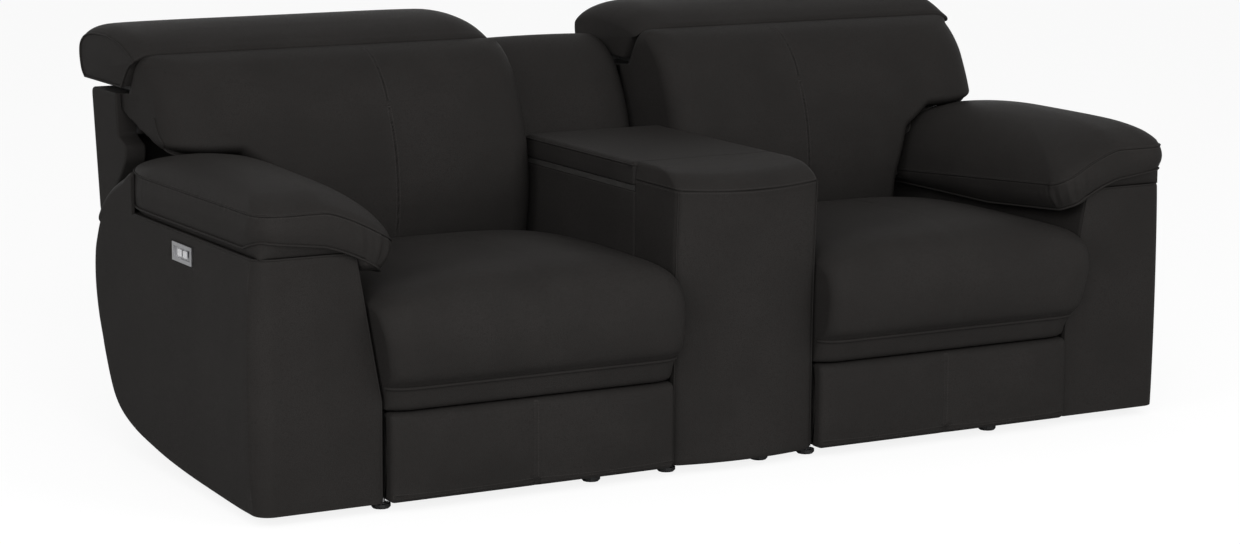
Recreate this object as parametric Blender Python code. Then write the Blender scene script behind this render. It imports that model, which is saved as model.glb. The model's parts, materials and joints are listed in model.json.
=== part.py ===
"""Two-seat power reclining sofa with a storage console between the seats.

Metres, +Z up. The front faces -Y and +X is on the viewer's right. The origin is on the floor, under
the middle of the whole sofa. Depths are measured rearwards from the fronts of the arms, and back()
turns such a depth into a Y coordinate. Each seat is modelled once, on the +X side, and mirrored.
"""
import math

import bmesh
import bpy
import numpy as np

# Overall sizes
WIDTH = 2.0
DEPTH = 1.08
FRONT_OVERHANG = 0.075
FLOOR_GAP = 0.02
FIT_GAP = 0.0003
RUNNING_GAP = 0.0007
CUT_OVERRUN = 0.01
SHARP_ANGLE = 35.0

# Arms
SWITCH_PROUD = 0.002
ARM_WIDTH = 0.244
ARM_TOP_WIDTH = 0.195
ARM_SLOPE_Z = 0.207
ARM_TOP_Z = 0.4812
ARM_DEPTH = 0.821
ARM_FRONT_RADIUS = 0.018
ARM_INNER_RADIUS = 0.008
ARM_REAR_RADIUS = 0.020
ARM_SHOULDER_RADIUS = 0.016
ARM_SHOULDER_RISE = 0.080

# Arm pillows
PILLOW_OVERHANG = 0.016
PILLOW_DEPTH_SHARE = 0.855
PILLOW_CROWN_Z = 0.603
PILLOW_INNER_REACH = 0.270
PILLOW_LIP_DROP = 0.027
PILLOW_OUTER_INSET = 0.070
PILLOW_INNER_INSET = 0.020
PILLOW_SIDE_GAP = 0.002

# Console
CONSOLE_WIDTH = 0.312
CONSOLE_FRONT_DEPTH = 0.150
CONSOLE_BOW = 0.020
CONSOLE_SEAM_Z = 0.548
CONSOLE_TOP_Z = 0.582
CONSOLE_BOX_TOP_Z = 0.525
CONSOLE_BOX_DEPTH = 0.690
CONSOLE_CORNER_RADIUS = 0.014
STORE_WALL = 0.024
STORE_REAR_DEPTH = 0.570
STORE_FLOOR_Z = 0.300
LID_REAR_DEPTH = 0.600
LID_BOARD_THICKNESS = 0.010
LID_CORNER_RADIUS = 0.012
LID_HINGE_DEPTH = 0.606
LID_KNUCKLE_RADIUS = 0.005
LID_PIN_RADIUS = 0.0022
LID_KNUCKLE_HALF = 0.039
LID_HINGE_HALF = 0.120
LID_LEAF_THICKNESS = 0.0016
LID_LEAF_DEPTH = 0.036

# Base frames and feet
BOARD = 0.020
BASE_FRONT_DEPTH = 0.040
BASE_SHOULDER_DEPTH = 0.560
BASE_HEEL_START = 0.620
BASE_HEEL_Z = 0.075
BASE_REAR_DEPTH = 0.665
BASE_TOP_Z = 0.190
BASE_BAR = 0.018
BASE_BAR_TOP_Z = 0.036
REAR_BAR_INSET = 0.036
FOOT_RADIUS = 0.018
FOOT_DEPTH = 0.050
FOOT_PAIR_SHARE = 0.725
SEAT_FOOT_INSET = 0.017
CONSOLE_FOOT_SPACING = 0.207
CONSOLE_FOOT_INSET = 0.015
CONSOLE_REAR_FOOT_DEPTH = 0.800

# Seat frame and cushion
SEAT_SIDE_GAP = 0.004
SEAT_FRAME_REAR = 0.610
FRAME_BOARD = 0.018
DECK_Z = 0.2454
SLAT_THICKNESS = 0.013
SLAT_DEPTH = 0.050
SEAT_SEAM_Z = 0.236
SEAT_BAND_BOTTOM_Z = 0.190
SEAT_BAND_REAR = 0.030
SEAT_BAND_FRONT = 0.018
SEAT_SEAM_FRONT = 0.036
SEAT_REAR_TUCK = 0.010
SEAT_EDGE_Z = 0.402
SEAT_CROWN = 0.034
SEAT_END_INSET = 0.016

# Footrest linkage, with turns in degrees
CRANK_DEPTH = 0.140
CRANK_Z = 0.220
CRANK_REACH = 0.185
CRANK_REST_ANGLE = 225.0
PANEL_PIVOT_DEPTH = 0.045
PANEL_PIVOT_Z = 0.100
TORQUE_TUBE_RADIUS = 0.012
STRAP_WIDTH = 0.024
STRAP_THICKNESS = 0.005
STRAP_INSET = 0.042
LINK_TUBE_SHARE = 0.45
LINK_TUBE_RADIUS = 0.008
PIVOT_PIN_RADIUS = 0.006
STUB_PIN_RADIUS = 0.007
STUB_PIN_LENGTH = 0.012
LEVER_REACH = 0.050

# Footrest panel
PANEL_SIDE_GAP = 0.006
PANEL_FRONT = 0.020
PANEL_PAD_THICKNESS = 0.036
PANEL_BOARD_THICKNESS = 0.0137
PANEL_TOP_Z = 0.187
PANEL_BOARD_INSET = 0.004
PANEL_PAD_RADIUS = 0.012
BRACKET_THICKNESS = 0.004
BRACKET_HEIGHT = 0.030

# Actuator
ACTUATOR_Z = 0.185
ACTUATOR_TUBE_RADIUS = 0.014
ACTUATOR_TUBE_FRONT = 0.340
GEARBOX_FRONT = 0.500
GEARBOX_REAR = 0.570
GEARBOX_WIDTH = 0.060
GEARBOX_DROP = 0.049
GEARBOX_RISE = 0.021
ACTUATOR_LUG_HALF = 0.010
MOTOR_RADIUS = 0.026
MOTOR_LENGTH = 0.110
ROD_RADIUS = 0.008
ROD_TAIL_DEPTH = 0.440
ROD_EYE_RADIUS = 0.012
ROD_EYE_HALF = 0.004

# Backs
RECLINE_DEPTH = 0.700
RECLINE_Z = 0.260
RECLINE_PIN_RADIUS = 0.008
RECLINE_PLATE = 0.006
RECLINE_PLATE_WIDTH = 0.040
RECLINE_PLATE_DROP = 0.024
BACK_SIDE_GAP = 0.012
BACK_NARROW_GAP = 0.011
BACK_WIDE_INSET = 0.050
BACK_BOTTOM_Z = 0.130
BACK_WIDE_BOTTOM_Z = 0.440
BACK_SHOULDER_Z = 0.605
BACK_TOP_Z = 0.685
BACK_THICKNESS = 0.130
BACK_WIDE_THICKNESS = 0.058
BACK_REAR_DEPTH = 0.850
BACK_LEAN_DEPTH = 0.080
BACK_EDGE_RADIUS = 0.020
BACK_SEAM_STEP = 0.0015

# Back cushions
BACK_PAD_BOTTOM_Z = 0.325
BACK_PAD_FRONT = 0.520
BACK_PAD_SEAM_DEPTH = 0.700
BACK_PAD_SEAM_Z = 0.768
BACK_PAD_LOW_INSET = 0.034
BACK_PAD_LIP = 0.002
BACK_WING_INSET = 0.065
BACK_WING_BOTTOM_Z = 0.606
BACK_WING_RADIUS = 0.060
HEAD_JOINT_DEPTH = 0.750
HEAD_JOINT_Z = 0.688

# Headrests
HEAD_AXIS_DEPTH = 0.715
HEAD_AXIS_Z = 0.760
HEAD_BOARD_FRONT = 0.776
HEAD_BOARD_REAR = 0.975
HEAD_BOARD_THICKNESS = 0.012
HEAD_BOARD_Z = 0.690
HEAD_BOARD_INSET = 0.030
HEAD_CROWN_Z = 0.815
HEAD_END_INSET = 0.030
HEAD_ARM_THICKNESS = 0.006
HEAD_ARM_WIDTH = 0.018
HEAD_PIN_RADIUS = 0.004
HEAD_POST_DROP = 0.045
HEAD_SLOT_DROP = 0.054
HEAD_ARM_SHARES = (0.22, 0.78)

# Console back
CONSOLE_BACK_TOP_Z = 0.700
CONSOLE_BACK_STEP = 0.018
CONSOLE_PAD_RISE = 0.045
CONSOLE_PAD_FRONT = 0.700
CONSOLE_PAD_THICKNESS = 0.045
CONSOLE_PAD_UPPER_SHARE = 0.294
INLET_WIDTH = 0.060
INLET_HEIGHT = 0.040
INLET_PROUD = 0.012
INLET_Z = 0.112
INLET_SOCKET_RADIUS = 0.008
INLET_SOCKET_FLOOR = 0.004

# Switch panels
SWITCH_FRONT = 0.296
SWITCH_LENGTH = 0.094
SWITCH_HEIGHT = 0.035
SWITCH_Z = 0.443
SWITCH_DEPTH = 0.012
SWITCH_RIM = 0.007
SWITCH_RECESS = 0.005
BUTTON_LENGTH = 0.016
BUTTON_HEIGHT = 0.013
BUTTON_SPACING = 0.026
BUTTON_THICKNESS = 0.0025
BUTTON_FLOAT = 0.0020
STEM_RADIUS = 0.0025
STEM_LENGTH = 0.0060

ROUND_SIDES = 16
SMALL_SIDES = 12

# Worked-out places
ARM_FRONT_Y = FRONT_OVERHANG - DEPTH / 2
ARM_OUTER = WIDTH / 2 - SWITCH_PROUD
CONSOLE_HALF = CONSOLE_WIDTH / 2
ARM_INNER = WIDTH / 2 - ARM_WIDTH
PILLOW_DEPTH = PILLOW_DEPTH_SHARE * ARM_DEPTH
SEAT_LOW = CONSOLE_HALF + SEAT_SIDE_GAP
SEAT_HIGH = ARM_INNER - SEAT_SIDE_GAP
SEAT_REAR_DEPTH = BACK_PAD_FRONT + SEAT_REAR_TUCK
BASE_LOW = CONSOLE_HALF + FIT_GAP
BASE_HIGH = ARM_INNER - FIT_GAP
BACK_LOW = CONSOLE_HALF + BACK_SIDE_GAP
BACK_NARROW_HALF = ARM_INNER - BACK_NARROW_GAP
BACK_PAD_LOW_HALF = ARM_INNER - BACK_PAD_LOW_INSET
BACK_WIDE_HALF = WIDTH / 2 - BACK_WIDE_INSET
BACK_WING_HALF = WIDTH / 2 - BACK_WING_INSET
SEAT_FRAME_BOTTOM_Z = BASE_TOP_Z + FIT_GAP
HEAD_REAR = DEPTH - FRONT_OVERHANG
CONSOLE_PAD_SEAT_DEPTH = CONSOLE_PAD_FRONT + CONSOLE_PAD_THICKNESS
CONSOLE_PAD_TOP_Z = CONSOLE_BACK_TOP_Z + CONSOLE_PAD_RISE
SEAT_MIDDLE = (BASE_LOW + BASE_HIGH) / 2


def back(depth):
    return ARM_FRONT_Y + depth


def linkage_point(start, reach, degrees):
    """A place reach away from start; 0 degrees points forwards, 90 up and 180 rearwards."""
    angle = math.radians(degrees)
    return start[0] - reach * math.cos(angle), start[1] + reach * math.sin(angle)


CRANK = (back(CRANK_DEPTH), CRANK_Z)
CRANK_END = linkage_point(CRANK, CRANK_REACH, CRANK_REST_ANGLE)
LEVER_END = linkage_point(CRANK, LEVER_REACH, CRANK_REST_ANGLE)
PANEL_PIVOT = (back(PANEL_PIVOT_DEPTH), PANEL_PIVOT_Z)
RECLINE = (back(RECLINE_DEPTH), RECLINE_Z)
HEAD_AXIS = (back(HEAD_AXIS_DEPTH), HEAD_AXIS_Z)

FINISHES = {
    "leather": ((0.022, 0.022, 0.021), 0.45, 0.0),
    "board": ((0.42, 0.30, 0.18), 0.70, 0.0),
    "steel": ((0.05, 0.05, 0.055), 0.40, 0.9),
    "zinc": ((0.55, 0.55, 0.56), 0.35, 1.0),
    "plastic": ((0.02, 0.02, 0.02), 0.50, 0.0),
    "bezel": ((0.35, 0.35, 0.36), 0.30, 1.0),
    "button": ((0.60, 0.60, 0.60), 0.40, 0.0),
}


def finish(name):
    """The named Principled material, made on first use."""
    found = bpy.data.materials.get(name)
    if found:
        return found
    colour, roughness, metallic = FINISHES[name]
    made = bpy.data.materials.new(name)
    made.use_nodes = True
    shader = made.node_tree.nodes["Principled BSDF"]
    shader.inputs["Base Color"].default_value = (*colour, 1.0)
    shader.inputs["Roughness"].default_value = roughness
    shader.inputs["Metallic"].default_value = metallic
    return made


def arc(centre, radius, start, end, steps):
    """Points on a circle from start to end degrees, both ends included."""
    angles = np.radians(np.linspace(start, end, steps + 1))
    return [(centre[0] + radius * math.cos(a), centre[1] + radius * math.sin(a)) for a in angles]


def stadium(start, end, width, steps=6):
    """The outline of a flat bar with round ends about two points."""
    heading = math.degrees(math.atan2(end[1] - start[1], end[0] - start[0]))
    near = arc(start, width / 2, heading + 90, heading + 270, steps)
    far = arc(end, width / 2, heading - 90, heading + 90, steps)
    return near + far


def rounded_rectangle(low, high, radii, steps=3):
    """Corners in the order low-low, high-low, high-high, low-high, each with its own radius."""
    corners = ((low[0], low[1], 180), (high[0], low[1], 270), (high[0], high[1], 0), (low[0], high[1], 90))
    points = []
    for (x, y, start), radius in zip(corners, radii):
        x_centre = x + radius if x == low[0] else x - radius
        y_centre = y + radius if y == low[1] else y - radius
        points += arc((x_centre, y_centre), radius, start, start + 90, steps)
    return points


def loft(rings):
    """A closed shape through rings that have the same number of points, flat at both ends."""
    rings = np.array(rings, float)
    count, size = rings.shape[:2]
    faces = []
    for ring in range(count - 1):
        for point in range(size):
            after = (point + 1) % size
            low, high = ring * size, (ring + 1) * size
            faces.append((low + point, low + after, high + after, high + point))
    faces.append(tuple(range(size)))
    faces.append(tuple(range((count - 1) * size, count * size)))
    return rings.reshape(-1, 3), faces


def across(outline, low, high):
    """A Y-Z outline carried along X."""
    return loft([[(x, y, z) for y, z in outline] for x in (low, high)])


def upward(outline, low, high):
    """An X-Y outline carried along Z."""
    return loft([[(x, y, z) for x, y in outline] for z in (low, high)])


def block(low, high):
    outline = [(low[0], low[1]), (high[0], low[1]), (high[0], high[1]), (low[0], high[1])]
    return upward(outline, low[2], high[2])


def cross_rod(centre, radius, low, high, sides=ROUND_SIDES):
    """A round bar along X about a Y-Z centre."""
    return across(arc(centre, radius, 0, 360 - 360 / sides, sides - 1), low, high)


def long_rod(x, z, radius, low, high, sides=ROUND_SIDES):
    """A round bar along Y."""
    ring = arc((x, z), radius, 0, 360 - 360 / sides, sides - 1)
    return loft([[(a, y, b) for a, b in ring] for y in (low, high)])


def turned(centre, profile, sides=ROUND_SIDES):
    """A round piece about a vertical axis, from (radius, height) pairs."""
    rings = []
    for radius, z in profile:
        ring = arc(centre, radius, 0, 360 - 360 / sides, sides - 1)
        rings.append([(x, y, z) for x, y in ring])
    return loft(rings)


def soft_block(low, high, corner, edge):
    """A padded block: flat below, rounded in plan, with its upper edges rounded over."""
    rings = []
    turns = np.radians(np.linspace(0, 90, 4))
    over = [(edge * (1 - math.cos(a)), high[2] - edge * (1 - math.sin(a))) for a in turns]
    for inset, z in [(0.0, low[2])] + over:
        inner_low = (low[0] + inset, low[1] + inset)
        inner_high = (high[0] - inset, high[1] - inset)
        outline = rounded_rectangle(inner_low, inner_high, (corner,) * 4)
        rings.append([(x, y, z) for x, y in outline])
    return loft(rings)


def new_object(name, shape, side, origin):
    points, faces = shape
    mesh = bpy.data.meshes.new(name)
    moved = (np.array(points) - np.array(origin)) * np.array([side, 1, 1])
    mesh.from_pydata(moved.tolist(), [], faces)
    work = bmesh.new()
    work.from_mesh(mesh)
    bmesh.ops.recalc_face_normals(work, faces=work.faces)
    work.to_mesh(mesh)
    work.free()
    made = bpy.data.objects.new(name, mesh)
    made.location = (origin[0] * side, origin[1], origin[2])
    bpy.context.scene.collection.objects.link(made)
    return made


def add_node(name, shape, material, side=1, origin=(0.0, 0.0, 0.0), added=(), removed=(), rejoined=()):
    """One sub-part: a closed shape with others joined, then others cut away, then others joined."""
    node = new_object(name, shape, side, origin)
    node.data.materials.append(finish(material))
    steps = [("UNION", extra) for extra in added] + [("DIFFERENCE", extra) for extra in removed]
    steps += [("UNION", extra) for extra in rejoined]
    for number, (operation, extra) in enumerate(steps):
        guide = new_object(f"{name}.guide{number}", extra, side, origin)
        guide.hide_render = True
        guide.display_type = "WIRE"
        step = node.modifiers.new(f"{operation.lower()}{number}", "BOOLEAN")
        step.operation = operation
        step.solver = "EXACT"
        step.object = guide
    node.data.shade_smooth()
    node.data.set_sharp_from_angle(angle=math.radians(SHARP_ANGLE))
    return node


def arm_inner_x(z):
    """The arm's inner face: upright at the bottom, then sloping outwards to the narrower top."""
    share = np.clip((z - ARM_SLOPE_Z) / (ARM_TOP_Z - ARM_SLOPE_Z), 0, 1)
    return ARM_INNER + (ARM_WIDTH - ARM_TOP_WIDTH) * share


# Arm's rear edge, from its low flat underside round to a bulge: share of its height, share of its depth
ARM_REAR_SHARES = ((0.0, 0.122), (0.0076, 0.244), (0.0195, 0.404), (0.0347, 0.527), (0.0542, 0.626),
                   (0.0867, 0.745), (0.1301, 0.830), (0.1843, 0.881), (0.2602, 0.915), (0.3686, 0.948),
                   (0.4055, 0.956), (0.5204, 0.984), (0.6505, 1.0), (0.7697, 0.998), (0.8456, 0.982),
                   (0.9215, 0.957), (1.0, 0.920))


# Along the pillow: share of its length, of its height, and of the insets at its outer and inner ends
PILLOW_LENGTH_SHARES = ((0.0, 0.50, 0.29, 1.0), (0.006, 0.58, 0.10, 0.35), (0.03, 0.76, 0.0, 0.0),
                        (0.08, 0.93, 0.0, 0.0), (0.20, 1.0, 0.0, 0.0), (0.45, 1.03, 0.0, 0.0),
                        (0.68, 1.0, 0.0, 0.0), (0.79, 0.94, 0.02, 0.0), (0.87, 0.84, 0.13, 0.1),
                        (0.93, 0.67, 0.33, 0.3), (0.975, 0.43, 0.65, 0.7), (1.0, 0.18, 1.0, 1.0))
# Arm's shoulder behind the pillow's drawn-in end: share of the arm's depth, share of the shoulder's rise
ARM_SHOULDER_SHARES = ((0.714, 0.96), (0.743, 0.97), (0.782, 0.80), (0.828, 0.59), (0.877, 0.28),
                       (0.915, -0.1))


def pillow_depth(share):
    return share * (PILLOW_DEPTH + PILLOW_OVERHANG) - PILLOW_OVERHANG


def make_shoulder():
    """Sections along the arm: a rounded outer top, and an inner side that keeps clear of the pillow."""
    heights = np.array(ARM_SHOULDER_SHARES) * (ARM_DEPTH, ARM_SHOULDER_RISE)
    places = [(pillow_depth(row[0]), row[2] * PILLOW_OUTER_INSET) for row in PILLOW_LENGTH_SHARES]
    places = [place for place in places if place[0] > heights[0][0]]
    behind = places[-1][0] + FIT_GAP
    widest = ARM_OUTER - arm_inner_x(ARM_TOP_Z) - ARM_SHOULDER_RADIUS
    low_z = ARM_TOP_Z - 2 * ARM_SHOULDER_RADIUS
    places[-1] = (behind, places[-1][1])
    places += [(behind + ARM_SHOULDER_RADIUS, widest), (heights[-1][0], widest)]
    rings = []
    for depth, inset in places:
        high_z = ARM_TOP_Z + np.interp(depth, heights[:, 0], heights[:, 1])
        inner = ARM_OUTER - inset + FIT_GAP
        radius = min(ARM_SHOULDER_RADIUS, inset / 2)
        section = [(inner, low_z), (ARM_OUTER, low_z)]
        section += arc((ARM_OUTER - radius, high_z - radius), radius, 0, 90, 4) + [(inner, high_z)]
        rings.append([(x, back(depth), z) for x, z in section])
    return loft(rings)


def make_arm(side, label):
    rings = []
    for rise, reach in ARM_REAR_SHARES:
        z = FLOOR_GAP + rise * (ARM_TOP_Z - FLOOR_GAP)
        low = (arm_inner_x(z), back(0))
        high = (ARM_OUTER, back(reach * ARM_DEPTH))
        radii = (ARM_INNER_RADIUS, ARM_FRONT_RADIUS, ARM_REAR_RADIUS, ARM_INNER_RADIUS)
        rings.append([(x, y, z) for x, y in rounded_rectangle(low, high, radii)])
    pocket_low = (ARM_OUTER - SWITCH_DEPTH - FIT_GAP, back(SWITCH_FRONT) - FIT_GAP,
                  SWITCH_Z - SWITCH_HEIGHT / 2 - FIT_GAP)
    pocket_high = (ARM_OUTER + CUT_OVERRUN, back(SWITCH_FRONT + SWITCH_LENGTH) + FIT_GAP,
                   SWITCH_Z + SWITCH_HEIGHT / 2 + FIT_GAP)
    add_node(f"{label}_arm", loft(rings), "leather", side, added=[make_shoulder()],
             removed=[block(pocket_low, pocket_high)])


# Pillow section: share of the inward reach, share of the height above the lower outer seam
PILLOW_SECTION_SHARES = ((0.0, 0.0), (0.0, 0.28), (0.0, 0.565), (0.05, 0.78), (0.20, 0.94), (0.42, 1.0),
                         (0.60, 0.92), (0.78, 0.68), (0.92, 0.33), (1.0, 0.02))


def make_arm_pillow(side, label):
    seat_z = ARM_TOP_Z + FIT_GAP
    seam_z = seat_z + PILLOW_OVERHANG
    height = (PILLOW_CROWN_Z - seam_z) / max(shares[1] for shares in PILLOW_LENGTH_SHARES)
    lip_z = ARM_TOP_Z - PILLOW_LIP_DROP
    rings = []
    for length_share, height_share, outer_share, inner_share in PILLOW_LENGTH_SHARES:
        inset = PILLOW_OUTER_INSET * outer_share
        y = back(pillow_depth(length_share))
        ring = [(ARM_OUTER - PILLOW_OVERHANG - inset, y, seat_z)]
        reach = PILLOW_INNER_REACH - PILLOW_INNER_INSET * inner_share
        for reach_share, rise in PILLOW_SECTION_SHARES:
            x = ARM_OUTER - inset - reach_share * (reach - inset)
            ring.append((x, y, seam_z + rise * height * height_share))
        lip = ARM_OUTER - reach + PILLOW_LIP_DROP
        sunk_z = lip_z + (seat_z - lip_z) * inner_share / 2
        ring.append((lip, y, sunk_z))
        ring.append((arm_inner_x(sunk_z) - PILLOW_SIDE_GAP, y, sunk_z + PILLOW_SIDE_GAP))
        ring.append((arm_inner_x(ARM_TOP_Z) - PILLOW_SIDE_GAP, y, seat_z))
        rings.append(ring)
    add_node(f"{label}_arm_pillow", loft(rings), "leather", side)


def make_switch(side, label):
    low = (ARM_OUTER - SWITCH_DEPTH, back(SWITCH_FRONT), SWITCH_Z - SWITCH_HEIGHT / 2)
    high = (WIDTH / 2, back(SWITCH_FRONT + SWITCH_LENGTH), SWITCH_Z + SWITCH_HEIGHT / 2)
    floor_x = WIDTH / 2 - SWITCH_RECESS
    recess = block((floor_x, low[1] + SWITCH_RIM, low[2] + SWITCH_RIM),
                   (WIDTH / 2 + CUT_OVERRUN, high[1] - SWITCH_RIM, high[2] - SWITCH_RIM))
    holes = []
    for number, step in enumerate((-1, 1)):
        y = (low[1] + high[1] + step * BUTTON_SPACING) / 2
        cap_low = floor_x + BUTTON_FLOAT
        stem_tail = floor_x - STEM_LENGTH
        holes.append(cross_rod((y, SWITCH_Z), STEM_RADIUS + FIT_GAP, stem_tail - BUTTON_FLOAT,
                               floor_x + CUT_OVERRUN, SMALL_SIDES))
        cap = block((cap_low, y - BUTTON_LENGTH / 2, SWITCH_Z - BUTTON_HEIGHT / 2),
                    (cap_low + BUTTON_THICKNESS, y + BUTTON_LENGTH / 2, SWITCH_Z + BUTTON_HEIGHT / 2))
        stem = cross_rod((y, SWITCH_Z), STEM_RADIUS, stem_tail, cap_low + BUTTON_THICKNESS / 2,
                         SMALL_SIDES)
        origin = (cap_low, y, SWITCH_Z)
        add_node(f"{label}_switch_button_{number + 1}", cap, "button", side, origin, [stem])
    add_node(f"{label}_switch_bezel", block(low, high), "bezel", side, removed=[recess] + holes)


# Foot: share of its radius, share of its height
FOOT_SHARES = ((0.85, 0.0), (1.0, 0.15), (1.0, 0.45), (0.44, 0.60), (0.44, 1.0))


def make_foot(name, x, depth):
    height = FLOOR_GAP - FIT_GAP
    profile = [(share * FOOT_RADIUS, rise * height) for share, rise in FOOT_SHARES]
    add_node(name, turned((x, back(depth)), profile, SMALL_SIDES), "plastic")


def make_base_frame(side, label):
    """Two side boards on a front bar and a rear bar; low heels leave room for the back to swing."""
    outline = [(back(BASE_FRONT_DEPTH), FLOOR_GAP), (back(BASE_REAR_DEPTH), FLOOR_GAP),
               (back(BASE_REAR_DEPTH), BASE_HEEL_Z), (back(BASE_HEEL_START), BASE_HEEL_Z),
               (back(BASE_SHOULDER_DEPTH), BASE_TOP_Z), (back(BASE_FRONT_DEPTH), BASE_TOP_Z)]
    inner = across(outline, BASE_LOW, BASE_LOW + BOARD)
    outer = across(outline, BASE_HIGH - BOARD, BASE_HIGH)
    bars = [block((BASE_LOW + BOARD / 2, back(front), FLOOR_GAP),
                  (BASE_HIGH - BOARD / 2, back(front + BASE_BAR), BASE_BAR_TOP_Z))
            for front in (BASE_FRONT_DEPTH, BASE_REAR_DEPTH - REAR_BAR_INSET)]
    add_node(f"{label}_base_frame", inner, "board", side, added=bars + [outer])


def make_seat_frame(side, label):
    rail = [(back(BASE_FRONT_DEPTH), SEAT_FRAME_BOTTOM_Z), (back(SEAT_FRAME_REAR), SEAT_FRAME_BOTTOM_Z),
            (back(SEAT_FRAME_REAR), DECK_Z), (back(BASE_FRONT_DEPTH), DECK_Z)]
    inner_face = BASE_LOW + FRAME_BOARD
    outer_face = BASE_HIGH - FRAME_BOARD
    front_slat = block((inner_face - CUT_OVERRUN, back(BASE_FRONT_DEPTH), DECK_Z - SLAT_THICKNESS),
                       (outer_face + CUT_OVERRUN, back(BASE_FRONT_DEPTH) + SLAT_DEPTH, DECK_Z))
    rear_board = block((inner_face - CUT_OVERRUN, back(SEAT_FRAME_REAR) - FRAME_BOARD, SEAT_FRAME_BOTTOM_Z),
                       (outer_face + CUT_OVERRUN, back(SEAT_FRAME_REAR), DECK_Z))
    plate_start = (back(SEAT_FRAME_REAR) - RECLINE_PLATE_WIDTH, DECK_Z - RECLINE_PLATE_DROP)
    plate = stadium(plate_start, RECLINE, RECLINE_PLATE_WIDTH)
    stub = STUB_PIN_RADIUS
    pin_end = 2 * RECLINE_PLATE + 2 * RUNNING_GAP
    added = [
        across(rail, outer_face, BASE_HIGH),
        front_slat,
        rear_board,
        across(plate, inner_face - RECLINE_PLATE / 2, inner_face + RECLINE_PLATE),
        across(plate, outer_face - RECLINE_PLATE, outer_face + RECLINE_PLATE / 2),
        cross_rod(RECLINE, RECLINE_PIN_RADIUS, inner_face, inner_face + pin_end),
        cross_rod(RECLINE, RECLINE_PIN_RADIUS, outer_face - pin_end, outer_face),
        cross_rod(CRANK, stub, inner_face - stub, inner_face + STUB_PIN_LENGTH, SMALL_SIDES),
        cross_rod(CRANK, stub, outer_face - STUB_PIN_LENGTH, outer_face + stub, SMALL_SIDES),
    ]
    origin = (SEAT_MIDDLE, back(0), DECK_Z)
    add_node(f"{label}_seat_frame", across(rail, BASE_LOW, inner_face), "board", side, origin, added)


# Seat cushion side view: share of its length from the foremost point, share of its height above the
# seam, and how far the point follows the crown
SEAT_PROFILE_SHARES = ((0.022, 0.12, 0.0), (0.004, 0.32, 0.0), (0.0, 0.58, 0.1), (0.018, 0.80, 0.4),
                       (0.06, 0.94, 0.8), (0.14, 1.0, 1.0), (0.32, 1.02, 1.0), (0.55, 1.02, 1.0),
                       (0.76, 0.99, 0.9), (0.91, 0.93, 0.6), (0.985, 0.80, 0.2), (1.0, 0.58, 0.0))
# Across the seat: place from end to end, share of the inset that draws its ends in
SEAT_ACROSS_SHARES = ((-1.0, 1.0), (-0.985, 0.45), (-0.95, 0.12), (-0.86, 0.0), (-0.6, 0.0), (-0.3, 0.0),
                      (0.0, 0.0), (0.3, 0.0), (0.6, 0.0), (0.86, 0.0), (0.95, 0.12), (0.985, 0.45),
                      (1.0, 1.0))
CROWN_POWER = 3.0


def make_seat_cushion(side, label):
    """Side views carried across the seat, crowned in the middle and drawn in at both ends."""
    length = FRONT_OVERHANG + SEAT_REAR_DEPTH
    height = SEAT_EDGE_Z - SEAT_SEAM_Z
    deck = DECK_Z + FIT_GAP
    middle = (back(length / 2 - FRONT_OVERHANG), (deck + SEAT_EDGE_Z) / 2)
    rings = []
    for place, inset_share in SEAT_ACROSS_SHARES:
        x = (SEAT_LOW + SEAT_HIGH) / 2 + place * (SEAT_HIGH - SEAT_LOW) / 2
        crown = SEAT_CROWN * (1 - abs(place) ** CROWN_POWER)
        shrink = SEAT_END_INSET * inset_share
        upper = []
        for run, rise, follow in SEAT_PROFILE_SHARES:
            y = back(run * length - FRONT_OVERHANG)
            z = SEAT_SEAM_Z + rise * height + follow * crown
            y += shrink * (middle[0] - y) / (length / 2)
            z -= shrink * max(z - middle[1], 0) / (height / 2)
            upper.append((x, y, z))
        rear_y = upper[-1][1]
        ring = [(x, back(SEAT_BAND_REAR), deck), (x, back(SEAT_BAND_REAR), SEAT_BAND_BOTTOM_Z),
                (x, back(shrink - SEAT_BAND_FRONT), SEAT_BAND_BOTTOM_Z),
                (x, back(shrink - SEAT_SEAM_FRONT), SEAT_SEAM_Z)] + upper + [(x, rear_y, deck)]
        rings.append(ring)
    add_node(f"{label}_seat_cushion", loft(rings), "leather", side, (SEAT_MIDDLE, back(0), DECK_Z))


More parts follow.
